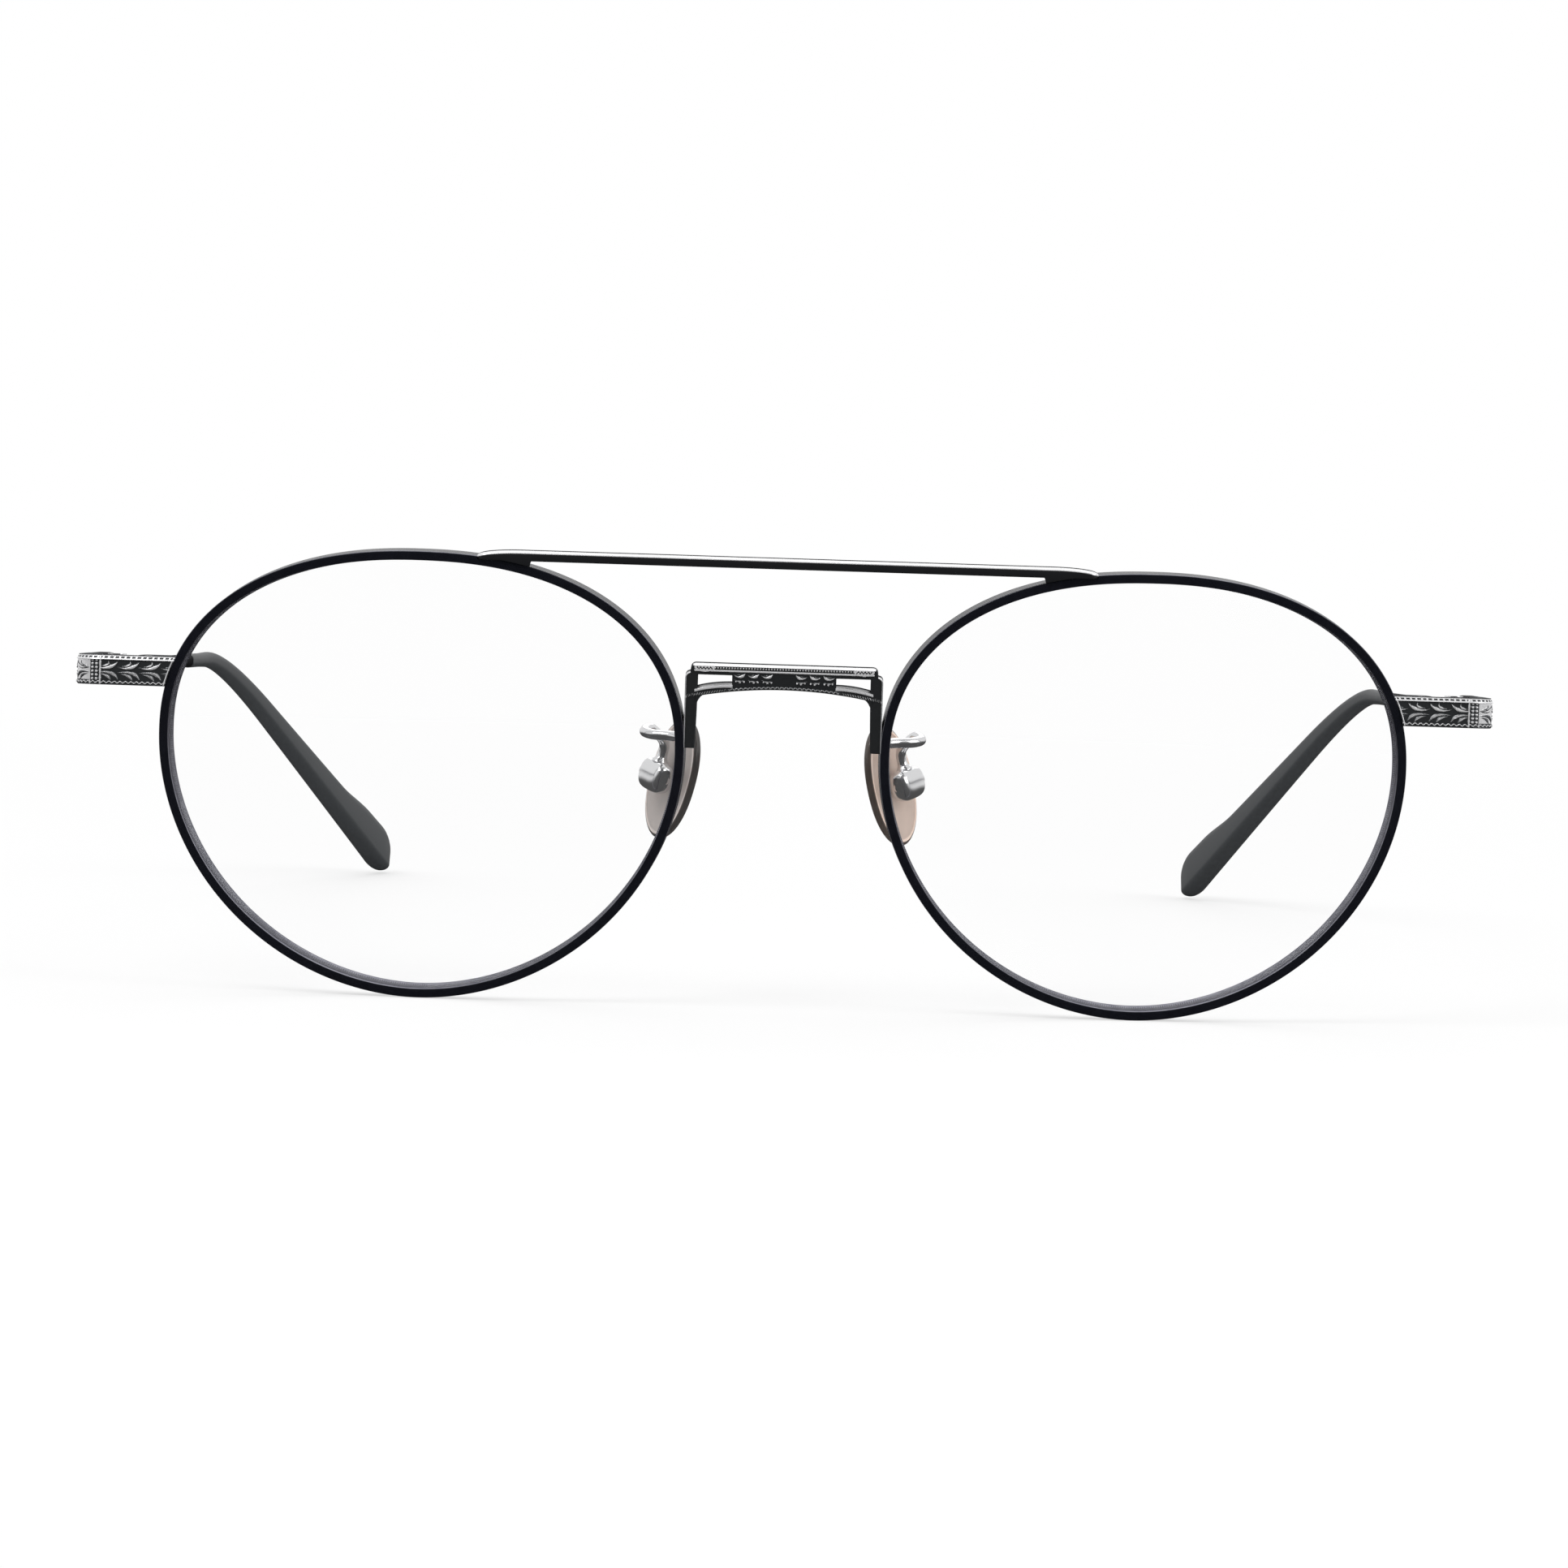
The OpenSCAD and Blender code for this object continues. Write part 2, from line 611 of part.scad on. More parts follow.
// Pad arm: a wire from the back of the rim, round a hairpin and down to the pad box
arm_root_up = 1.2;
arm_root_t = 180 - at_height(widest_up + arm_root_up, nose_shoulder);
arm_root = lens_to_front(rim_point(arm_root_t, [rim_out / 4, rim_back + fixed_gap]));
collar_rim = 0.35;
collar_r = arm_wire_r + collar_rim;
collar_h = 0.5;
pad_axis = [-sin(pad_lean), 0, cos(pad_lean)];
arm_foot = [pad_x, pad_back, pad_up] + pad_axis * (box_h / 2 + fixed_gap);
arm_route = [arm_root, arm_root + [0, 0.8, 0], arm_root + [1.1, 1.7, 0],
    arm_root + [2.7, 2.3, 0], arm_root + [3.6, 3.4, 0.1], arm_root + [3.1, 4.9, 0.2],
    arm_foot + pad_axis * 2.6 + [0.6, -0.6, 0], arm_foot + pad_axis * 1.6, arm_foot];
function spline(p, i, f) = let (a = p[max(0, i - 1)], b = p[i], c = p[i + 1],
    d = p[min(len(p) - 1, i + 2)])
    (2 * b + (c - a) * f + (2 * a - 5 * b + 4 * c - d) * f * f
     + (3 * b - 3 * c + d - a) * f * f * f) / 2;
module pad_arm() {
    parts = 4;
    sides = 12;
    last = len(arm_route) - 2;
    line = concat([for (i = [0:last], k = [0:parts - 1]) spline(arm_route, i, k / parts)],
        [arm_route[last + 1]]);
    guide = [0, 1, -1];
    m = len(line) - 1;
    at_front() {
        skin([for (i = [0:m]) let (d = line[min(m, i + 1)] - line[max(0, i - 1)],
            n = cross(guide, d) / norm(cross(guide, d)), v = cross(d, n) / norm(d))
            [for (k = [0:sides - 1]) let (a = k * 360 / sides)
                line[i] + arm_wire_r * (n * cos(a) + v * sin(a))]]);
        translate(arm_foot) rotate([0, -pad_lean, 0])
            cylinder(r1 = collar_r, r2 = arm_wire_r, h = collar_h);
    }
}

lacquer = [0.08, 0.09, 0.12];
dull_black = [0.2, 0.21, 0.22];
gunmetal = [0.25, 0.26, 0.28];
silver = [0.66, 0.66, 0.66];
clear = [0.92, 0.96, 0.97, 0.35];
pad_plastic = [0.72, 0.68, 0.65];

module rim_left() { color(lacquer) rim(); }
module rim_right() { color(lacquer) on_side(-1) rim(); }
module lens_left() { color(clear) lens(); }
module lens_right() { color(clear) on_side(-1) lens(); }
module top_bar() { color(gunmetal) top_bar_solid(); }
module bridge() { color(gunmetal) bridge_solid(); }
module endpiece_left() { color(gunmetal) endpiece(); }
module endpiece_right() { color(gunmetal) on_side(-1) endpiece(); }
module upper_block_left() { color(silver) block(true); }
module upper_block_right() { color(silver) on_side(-1) block(true); }
module lower_block_left() { color(silver) block(false); }
module lower_block_right() { color(silver) on_side(-1) block(false); }
module closing_screw_left() { color(silver) closing_screw(); }
module closing_screw_right() { color(silver) on_side(-1) closing_screw(); }
module front_hinge_left() { color(silver) front_hinge(); }
module front_hinge_right() { color(silver) on_side(-1) front_hinge(); }
module hinge_screw_left() { color(silver) hinge_screw(); }
module hinge_screw_right() { color(silver) on_side(-1) hinge_screw(); }
module pad_arm_left() { color(silver) pad_arm(); }
module pad_arm_right() { color(silver) on_side(-1) pad_arm(); }
module pad_box_left() { color(silver) pad_box(); }
module pad_box_right() { color(silver) on_side(-1) pad_box(); }
module pad_screw_left() { color(silver) pad_screw(); }
module pad_screw_right() { color(silver) on_side(-1) pad_screw(); }
module nose_pad_left() { color(pad_plastic) nose_pad(); }
module nose_pad_right() { color(pad_plastic) on_side(-1) nose_pad(); }
module temple_hinge_left() { color(silver) temple_hinge(); }
module temple_hinge_right() { color(silver) on_side(-1) temple_hinge(); }
module temple_left() { color(gunmetal) temple(); }
module temple_right() { color(gunmetal) on_side(-1) temple(); }
module tip_left() { color(dull_black) tip(); }
module tip_right() { color(dull_black) on_side(-1) tip(); }

rim_left();
rim_right();
lens_left();
lens_right();
top_bar();
bridge();
endpiece_left();
endpiece_right();
upper_block_left();
upper_block_right();
lower_block_left();
lower_block_right();
closing_screw_left();
closing_screw_right();
front_hinge_left();
front_hinge_right();
hinge_screw_left();
hinge_screw_right();
pad_arm_left();
pad_arm_right();
pad_box_left();
pad_box_right();
pad_screw_left();
pad_screw_right();
nose_pad_left();
nose_pad_right();
temple_hinge_left();
temple_hinge_right();
temple_left();
temple_right();
tip_left();
tip_right();
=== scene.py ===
"""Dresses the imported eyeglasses: smooth rims, engraved bridge and endpieces, polished pad fittings and dull tips."""
import json
from functools import cache

import bpy
import numpy as np
from bpy.props import FloatProperty, FloatVectorProperty, PointerProperty
from mathutils import Matrix, Vector


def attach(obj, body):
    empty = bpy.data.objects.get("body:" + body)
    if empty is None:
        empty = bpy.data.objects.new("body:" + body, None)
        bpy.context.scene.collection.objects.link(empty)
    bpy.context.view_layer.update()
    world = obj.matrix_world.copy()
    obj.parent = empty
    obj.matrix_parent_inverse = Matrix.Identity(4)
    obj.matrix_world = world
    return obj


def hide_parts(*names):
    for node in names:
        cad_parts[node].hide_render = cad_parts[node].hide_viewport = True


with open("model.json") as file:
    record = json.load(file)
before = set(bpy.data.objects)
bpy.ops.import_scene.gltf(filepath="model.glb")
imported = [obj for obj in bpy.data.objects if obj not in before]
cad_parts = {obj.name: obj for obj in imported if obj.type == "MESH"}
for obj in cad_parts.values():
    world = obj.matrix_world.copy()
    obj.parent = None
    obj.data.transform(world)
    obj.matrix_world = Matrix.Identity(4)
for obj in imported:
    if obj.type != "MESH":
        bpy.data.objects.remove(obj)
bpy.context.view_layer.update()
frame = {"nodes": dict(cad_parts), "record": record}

bl_info = {
    "name": "Oval Eyeglasses",
    "version": (1, 0, 0),
    "blender": (4, 5, 0),
    "location": "View3D > Sidebar > Eyewear",
    "description": "Builds the visible surfaces of a pair of oval metal eyeglasses",
    "category": "Add Mesh",
}

MM = 0.001
TOP_POWER, LOW_POWER = 2.25, 1.95       # fullness of the lens outline above and below its widest line
SHARP = float(np.radians(44))           # edges sharper than this aren't shaded smoothly


def size(name, description, default):
    """A length that a user may change, kept in metres. Its default is in millimetres."""
    return FloatProperty(name=name, description=description, default=default * MM, unit="LENGTH",
                         subtype="DISTANCE", precision=5)


def angle(name, description, default):
    """An angle that a user may change, kept in radians. Its default is in degrees."""
    return FloatProperty(name=name, description=description, default=float(np.radians(default)), subtype="ANGLE")


def tint(name, description, default):
    """A colour in sRGB values, kept as linear values."""
    linear = tuple(float(((c + 0.055) / 1.055) ** 2.4 if c > 0.04045 else c / 12.92) for c in default)
    return FloatVectorProperty(name=name, description=description, default=linear, subtype="COLOR", size=3,
                               min=0.0, max=1.0)


class FrontSizes(bpy.types.PropertyGroup):
    """Sizes of the rims, the bar, the bridge and the endpieces."""
    lens_w: size("Lens width", "Across the bevel", 49.4)
    lens_h: size("Lens height", "Across the bevel", 42.0)
    nose_gap: size("Nose gap", "Between the two lenses", 20.0)
    widest_up: size("Widest line", "Height of a lens's widest line above its centre", 3.0)
    base_r: size("Base curve", "Radius that the lenses follow", 175.0)
    lens_t: size("Lens thickness", "Of each lens", 1.6)
    wrap: angle("Wrap", "Turn of each lens backwards from the nose", 4.0)
    rim_depth: size("Rim depth", "From front to back", 2.35)
    rim_out: size("Rim height", "Outer wall above the lens edge", 0.65)
    front_lip: size("Front lip", "Height of the lip in front of the lens", 0.24)
    rear_lip: size("Rear lip", "Height of the lip behind the lens", 0.4)
    rim_bevel: size("Rim bevel", "Width of the bare bevelled edges", 0.13)
    milgrain: size("Grain pitch", "Between two grains on the rims' sides", 0.22)
    front_tilt: angle("Front tilt", "Forward lean of the rims' top", 5.3)
    bar_half: size("Bar half length", "From the middle to an end", 29.6)
    bar_span: size("Bar half span", "From the middle to a foot", 24.4)
    bar_rise: size("Bar rise", "Bar's top above the rims' top", 0.3)
    bar_h: size("Bar thickness", "From top to bottom", 0.86)
    bar_depth: size("Bar depth", "From front to back", 2.4)
    bar_front: size("Bar front", "In front of the lens centre", 0.8)
    bridge_top: size("Bridge top", "Above the lens centre", 11.75)
    bridge_low: size("Bridge low", "Lower edge above the lens centre", 9.55)
    bridge_depth: size("Bridge depth", "From front to back", 2.4)
    bridge_front: size("Bridge front", "In front of the lens centre", 1.2)
    leg_w: size("Leg width", "Of a bridge leg", 1.2)
    leg_foot: size("Leg foot", "Legs' feet above the lens centre", 3.7)
    arch_r: size("Arch radius", "Of the bridge's arched lower edge", 43.0)
    window_w: size("Window length", "Of the bridge's windows", 3.15)
    end_h: size("Endpiece width", "From top to bottom", 2.9)
    end_t: size("Endpiece thickness", "From inside to outside", 1.6)
    end_len: size("Endpiece length", "From its face to the temple", 10.5)
    end_corner: size("Endpiece corner", "Outer radius", 2.5)
    hinge_in: size("Hinge offset", "From the hinge's axis out to the endpiece", 1.35)
    leaf_pitch: size("Leaf pitch", "Between two engraved leaves", 2.08)
    rope_pitch: size("Rope pitch", "Between two marks of the border", 0.53)
    relief: size("Relief", "Depth of the engraving", 0.11)


class RearSizes(bpy.types.PropertyGroup):
    """Sizes of the nose pads and the temples."""
    pad_x: size("Pad offset", "Pad screw from the middle", 12.2)
    pad_back: size("Pad setback", "Pad screw behind the lens centre", 7.9)
    pad_up: size("Pad height", "Pad screw above the lens centre", -0.5)
    pad_len: size("Pad length", "Of a nose pad", 12.0)
    pad_w: size("Pad width", "Of a nose pad", 6.9)
    pad_t: size("Pad thickness", "Of a nose pad", 1.5)
    pad_splay: angle("Pad splay", "Opening of the pads towards the back", 55.0)
    pad_lean: angle("Pad lean", "Lean of the pads' tops towards the nose", 14.0)
    box_w: size("Pad box length", "Along its screw", 3.6)
    box_depth: size("Pad box depth", "Towards the pad", 2.3)
    box_h: size("Pad box height", "From top to bottom", 3.1)
    wire_r: size("Wire radius", "Of a pad arm", 0.5)
    temple_len: size("Temple length", "Along its middle line", 145.0)
    temple_straight: size("Straight length", "From the hinge to the bend", 80.0)
    bend_r: size("Bend radius", "Of the ear bend", 45.0)
    bend: angle("Bend angle", "Of the ear bend", 33.2223)
    bend_lean: angle("Bend lean", "Inward lean of the ear bend", 31.0)
    temple_fall: angle("Temple fall", "Fall of the temples towards the tips", 2.0)
    temple_toe: angle("Temple toe", "Turn of the temples inwards", 2.1)
    toe_at: size("Toe start", "From the hinge to where the toe begins", 8.0)
    slim_h: size("Slim height", "Of a temple's slim part", 1.4)
    slim_t: size("Slim thickness", "Of a temple's slim part", 1.3)
    slim_at: size("Slim start", "From the hinge to the slim part", 30.0)
    sleeve_at: size("Sleeve start", "From the hinge to the tip sleeve", 66.0)
    core_in: size("Core step", "Step from the slim part down to the core", 0.5)
    tip_h: size("Tip height", "Near its end", 4.6)
    tip_t: size("Tip thickness", "Near its end", 2.4)
    tip_swell: size("Tip swelling", "On the upper side of a tip's end", 0.8)


class FinishColours(bpy.types.PropertyGroup):
    """Colours of the finishes."""
    lacquer: tint("Lacquer", "Black lacquer on the rims' faces", (0.075, 0.08, 0.105))
    gunmetal: tint("Gunmetal", "Darkened metal of the bar and the temples", (0.36, 0.365, 0.38))
    recess: tint("Recess", "Oxidised ground between the engraved leaves", (0.38, 0.39, 0.4))
    silver: tint("Silver", "Bare polished metal", (0.88, 0.88, 0.885))
    antique: tint("Antique silver", "Bare sides of the rims", (0.6, 0.6, 0.63))
    # The two pads are one plastic: their colours differ by painted light, the wearer's left painted lighter and warmer
    pad_left: tint("Left pad", "Plastic on the wearer's left", (0.8, 0.72, 0.67))
    pad_right: tint("Right pad", "Plastic on the wearer's right", (0.69, 0.66, 0.645))
    tip: tint("Tip", "Dull black of the temple tips", (0.22, 0.23, 0.24))
    floor: tint("Floor", "Pale floor", (0.93, 0.93, 0.93))


def sizes():
    """The front's and the rear's sizes, in millimetres and radians."""
    values = {}
    for group in (bpy.context.scene.front_sizes, bpy.context.scene.rear_sizes):
        for name, prop in group.bl_rna.properties.items():
            if prop.type == "FLOAT":
                values[name] = getattr(group, name) / (MM if prop.subtype == "DISTANCE" else 1)
    return type("Sizes", (), values)


# Frames of the parts, as rotations and shifts in millimetres
def rotation(axis, turn):
    """Turn about x, y or z, as a 3 by 3 matrix."""
    c, s = np.cos(turn), np.sin(turn)
    i, j = {"x": (1, 2), "y": (2, 0), "z": (0, 1)}[axis]
    m = np.eye(3)
    m[i, i] = m[j, j] = c
    m[i, j], m[j, i] = -s, s
    return m


def joint_place(name):
    """Position in millimetres of a joint of the record."""
    joints = {joint["name"]: joint for joint in frame["record"]["behaviour"]["joints"]}
    return np.array(joints[name]["pos_m"]) / MM


def pad_place(s):
    """Place of the left pad's screw in the front's own frame."""
    return np.array([s.pad_x, s.pad_back, s.pad_up])


def front_origin(s):
    """Place of the front's own origin: the pad screw's place in the world less its place in the front."""
    return (joint_place("pad_left_rock") - rotation("x", s.front_tilt) @ pad_place(s)) * [0, 1, 1]


def at_front(points, s):
    """Points of the front's own frame, leant forward by the tilt and moved to their place."""
    return points @ rotation("x", s.front_tilt).T + front_origin(s)


def at_lens(points, s):
    """Points of a lens's frame, turned by the wrap and moved to the wearer's left lens, then into the world."""
    return at_front(points @ rotation("z", s.wrap).T + [(s.lens_w + s.nose_gap) / 2, 0, 0], s)


def at_hinge(points, s):
    """Points of the left hinge's frame, turned by the temple's fall and moved to the hinge."""
    return points @ rotation("x", -s.temple_fall).T + joint_place("temple_left_fold")


def at_pad(points, s):
    """Points of the left pad's frame, turned by the splay and the lean and moved to the pad screw."""
    return at_front(points @ (rotation("y", -s.pad_lean) @ rotation("z", s.pad_splay)).T + pad_place(s), s)


def for_side(points, side):
    """The same points, or their mirror image for the wearer's right."""
    return points if side == "left" else points * [-1, 1, 1]


def points_of(*parts):
    """The coordinates of points, or other values, side by side in a last axis. Smaller parts are repeated."""
    return np.stack(np.broadcast_arrays(*parts), axis=-1)


def unit(vectors):
    """Vectors at length 1."""
    return vectors / np.linalg.norm(vectors, axis=-1)[..., None]


def turns(count):
    """Angles at equal steps round a full turn."""
    return np.arange(count) * 2 * np.pi / count


def power(q, e):
    """The sign of q times |q| to the power e."""
    return np.sign(q) * np.abs(q) ** e


# Meshes from grids
def grid_faces(rows, cols, wrap_rows=False, wrap_cols=True):
    """Quads between neighbouring rows and columns of a grid of points numbered row by row."""
    a, b = np.meshgrid(np.arange(rows if wrap_rows else rows - 1), np.arange(cols if wrap_cols else cols - 1),
                       indexing="ij")
    c, d = (a + 1) % rows, (b + 1) % cols
    return points_of(a * cols + b, a * cols + d, c * cols + d, c * cols + b).reshape(-1, 4)


class Shell:
    """Collects grids of points of the wearer's left side with their faces and wear-and-painted-light values, for one
    mesh.
    """

    def __init__(self):
        self.points, self.faces, self.worn, self.count = [], [], [], 0

    def add(self, points, faces, worn):
        """Adds points with faces numbered from 0, and a value of wear and painted light per point."""
        self.points.append(points.reshape(-1, 3))
        self.faces.append(faces + self.count)
        self.worn.append(np.reshape(worn, -1))
        self.count += len(self.points[-1])

    def tube(self, rings, worn=0.0, wrap=False):
        """Quads from each ring of points to the next. The last ring joins the first, or else each end is closed by
        triangles round the ring's middle."""
        rows, cols = rings.shape[:2]
        worn = np.broadcast_to(worn, (rows, cols))
        start = self.count
        self.add(rings, grid_faces(rows, cols, wrap_rows=wrap), worn)
        for row, order in () if wrap else ((0, -1), (rows - 1, 1)):
            ring = start + row * cols + np.arange(cols) - self.count
            faces = points_of(ring, np.roll(ring, -1), 0)
            self.add(rings[row].mean(axis=0), faces[:, ::order], worn[row].mean())


def build(name, replaced, shell, look, side="left", body="front"):
    """Makes one object of a shell, in metres, with outward faces, its wear-and-painted-light attribute, its finish and
    its body.
    """
    points = for_side(np.concatenate(shell.points), side) * MM
    faces = [part[:, ::-1] if side == "right" else part for part in shell.faces]
    counts = np.concatenate([np.full(len(part), part.shape[1]) for part in faces])
    loops = np.concatenate([part.reshape(-1) for part in faces])
    mesh = bpy.data.meshes.new(name)
    mesh.vertices.add(len(points))
    mesh.vertices.foreach_set("co", points.astype(np.float32).reshape(-1))
    mesh.loops.add(len(loops))
    mesh.loops.foreach_set("vertex_index", loops.astype(np.int32))
    mesh.polygons.add(len(counts))
    mesh.polygons.foreach_set("loop_start", (np.cumsum(counts) - counts).astype(np.int32))
    mesh.update(calc_edges=True)
    mesh.validate()
    mesh.polygons.foreach_set("use_smooth", np.full(len(mesh.polygons), True))
    mesh.set_sharp_from_angle(angle=SHARP)
    worn = mesh.attributes.new("worn", "FLOAT", "POINT")
    worn.data.foreach_set("value", np.concatenate(shell.worn).astype(np.float32))
    mesh.materials.append(finish(look))
    piece = bpy.data.objects.new(name, mesh)
    bpy.context.scene.collection.objects.link(piece)
    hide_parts(replaced)
    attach(piece, body)
    return piece


def pair(name, replaced, shell, look, body="front"):
    """The piece of the wearer's left and its mirror image. Braces in the names stand for the side."""
    return [build(name.format(side), replaced.format(side), shell, look.format(side), side, body.format(side))
            for side in ("left", "right")]


# Materials
def set_inputs(tree, target, inputs):
    """Sets inputs of a shader node: an output of another node is linked, any other value is set."""
    for key, value in inputs.items():
        if isinstance(value, bpy.types.NodeSocket):
            tree.links.new(value, target.inputs[key])
        else:
            target.inputs[key].default_value = value


def add_node(tree, kind, inputs=None, out=0, **settings):
    """Adds a shader node with its settings and inputs, and gives one of its outputs."""
    made = tree.nodes.new("ShaderNode" + kind)
    for name, value in settings.items():
        setattr(made, name, value)
    set_inputs(tree, made, inputs or {})
    return made.outputs[out]


def principled(name):
    """A new material, its node tree and its Principled shader."""
    material = bpy.data.materials.new(name)
    material.use_nodes = True
    return material, material.node_tree, material.node_tree.nodes["Principled BSDF"]


def noise(tree, scale, detail):
    """Noise over object coordinates."""
    place = add_node(tree, "TexCoord", out="Object")
    return add_node(tree, "TexNoise", {"Vector": place, "Scale": scale, "Detail": detail}, "Fac")


def ramp(tree, source, *stops):
    """A colour ramp over a value. Each stop is a position and a linear colour, or a number for a grey."""
    made = tree.nodes.new("ShaderNodeValToRGB")
    elements = made.color_ramp.elements
    for element, (position, colour) in ((elements[0], stops[0]), (elements[1], stops[-1])):
        element.position, element.color = position, (*np.ones(3) * colour, 1)
    for position, colour in stops[1:-1]:
        elements.new(position).color = (*np.ones(3) * colour, 1)
    tree.links.new(source, made.inputs["Fac"])
    return made.outputs["Color"]


def span(tree, source, low, high, start=0.0, end=1.0):
    """A value carried from the range start to end to the range from low to high."""
    return add_node(tree, "MapRange", {"Value": source, "From Min": start, "From Max": end, "To Min": low,
                                       "To Max": high}, "Result")


def math(tree, operation, *values):
    """A Math node over sockets and numbers."""
    return add_node(tree, "Math", dict(enumerate(values)), operation=operation)


def product(tree, a, b):
    """Two colours multiplied."""
    return add_node(tree, "Mix", {"Factor": 1.0, "A": a, "B": b}, "Result", data_type="RGBA", blend_type="MULTIPLY")


def bump(tree, height, strength, distance=0.00002):
    """A bumped normal from a height."""
    return add_node(tree, "Bump", {"Strength": strength, "Distance": distance, "Height": height}, "Normal")


def worn_value(tree):
    """The piece's own wear-and-painted-light attribute, 0 in the ground and 1 on the bare raised metal. On some pieces
    it also carries painted highlights and painted shade.
    """
    return add_node(tree, "Attribute", out="Fac", attribute_name="worn")


def mix_surface(tree, share, first, second, output="Material Output"):
    """Two shaders mixed by a share, as the surface."""
    mixed = add_node(tree, "MixShader", {"Fac": share, 1: first, 2: second})
    tree.links.new(mixed, tree.nodes[output].inputs["Surface"])


def scaled(colour, k):
    """A colour times a number, kept within 1."""
    return tuple(min(1.0, c * k) for c in colour)


def metal(name, ground, bare, rough_ground, rough_bare, mottle, grain, strength=0.05, mirror=1.0):
    """Metal that goes from the ground to the bare metal with the wear-and-painted-light attribute, broken up by a
    noise of the mottle scale. Where that attribute holds painted light, the bare metal is a painted highlight and the
    ground is painted shade. The ground stays dark at a grazing view."""
    material, tree, shader = principled(name)
    worn = worn_value(tree)
    level = math(tree, "MULTIPLY_ADD", noise(tree, mottle, 3), 0.18, worn)
    set_inputs(tree, shader, {
        "Base Color": ramp(tree, level, (0.0, scaled(ground, 0.82)), (0.18, scaled(ground, 1.15)),
                           (0.55, scaled(bare, 0.45)), (0.9, bare), (1.0, scaled(bare, 1.06))),
        "Roughness": ramp(tree, level, (0.05, rough_ground), (0.95, rough_bare)),
        "Metallic": span(tree, worn, 1.0, mirror) if mirror < 1.0 else 1.0,
        "Specular Tint": ramp(tree, worn, (0.1, 0.04), (0.7, 1.0)),
        "Normal": bump(tree, noise(tree, grain, 2), strength)})
    return material


def lacquered(name, lacquer, bare):
    """Glossy lacquer where worn is 0, and bare stained metal where it is 1."""
    material, tree, shader = principled(name)
    worn = worn_value(tree)
    shade = ramp(tree, worn, (0.0, lacquer), (0.3, lacquer), (0.5, scaled(bare, 0.5)), (1.0, bare))
    stain = ramp(tree, noise(tree, 900, 3), (0.3, (0.72, 0.72, 0.75)), (0.7, 1.0))
    set_inputs(tree, shader, {
        "Base Color": product(tree, shade, stain), "Metallic": worn, "Roughness": span(tree, worn, 0.22, 0.3),
        "Specular Tint": (0.3, 0.3, 0.32, 1), "Normal": bump(tree, noise(tree, 2500, 2), 0.08)})
    return material


def plastic(name, colour, rough, speck, spread, strength, shine=0.5, coat=0.0, see_through=0.0):
    """Plastic with fine specks and a matching bump. Its wear-and-painted-light value paints light: a painted highlight
    where it is a half and painted shade where it is 1.
    """
    material, tree, shader = principled(name)
    cloud = noise(tree, speck, 5)
    skin = ramp(tree, cloud, (0.25, scaled(colour, 1 - spread)), (0.5, colour), (0.78, scaled(colour, 1 + spread)))
    # Painted light: a painted highlight where the value is a half, painted shade towards 1
    edge = ramp(tree, worn_value(tree), (0.0, 1.0), (0.5, 1.5), (0.75, 0.3), (1.0, 0.12))
    set_inputs(tree, shader, {
        "Base Color": product(tree, skin, edge), "Roughness": span(tree, cloud, rough * 0.9, rough * 1.1),
        "Specular IOR Level": shine, "Coat Weight": coat, "Subsurface Weight": see_through, "Subsurface Scale": MM,
        "Subsurface Radius": (1.0, 0.7, 0.6), "Normal": bump(tree, cloud, strength, 0.00003)})
    return material


def clear_glass(name):
    """Clear coated glass: a faint mirror that lets nearly all light through, mixed plainly with Transparent."""
    material, tree, shader = principled(name)
    set_inputs(tree, shader, {"Base Color": (0.93, 0.97, 1.0, 1), "Metallic": 1.0,
                              "Roughness": span(tree, noise(tree, 60, 3), 0.01, 0.04)})
    mix_surface(tree, 0.992, shader.outputs["BSDF"], add_node(tree, "BsdfTransparent"))
    return material


FINISHES = {
    "lacquer": (lacquered, "black_lacquer", ("lacquer", "antique")),
    "gunmetal": (metal, "gunmetal", ("gunmetal", "silver"), 0.34, 0.22, 500, 2500, 0.05, 0.6),
    "engraved": (metal, "engraved_silver", ("recess", "silver"), 0.42, 0.3, 2200, 4000, 0.05, 0.45),
    "silver": (metal, "polished_silver", ("silver", "silver"), 0.2, 0.17, 300, 3000, 0.02),
    "temple": (metal, "temple_gunmetal", ("gunmetal", "silver"), 0.36, 0.16, 500, 2500),
    "lens": (clear_glass, "clear_lens", ()),
    # The two pad finishes differ only by painted light, the wearer's left painted lighter
    "pad_left": (plastic, "pad_plastic_left", ("pad_left",), 0.3, 900, 0.08, 0.1, 0.5, 0.3, 0.25),
    "pad_right": (plastic, "pad_plastic_right", ("pad_right",), 0.3, 900, 0.08, 0.1, 0.5, 0.3, 0.25),
    "tip": (plastic, "dull_black_tip", ("tip",), 0.5, 2600, 0.12, 0.2, 0.3),
}


@cache
def finish(name):
    """The finish of that name, made once from its row: maker, material name, colours and numbers."""
    make, label, tints, *numbers = FINISHES[name]
    colours = bpy.context.scene.finish_colours
    return make(label, *(tuple(getattr(colours, shade)) for shade in tints), *numbers)


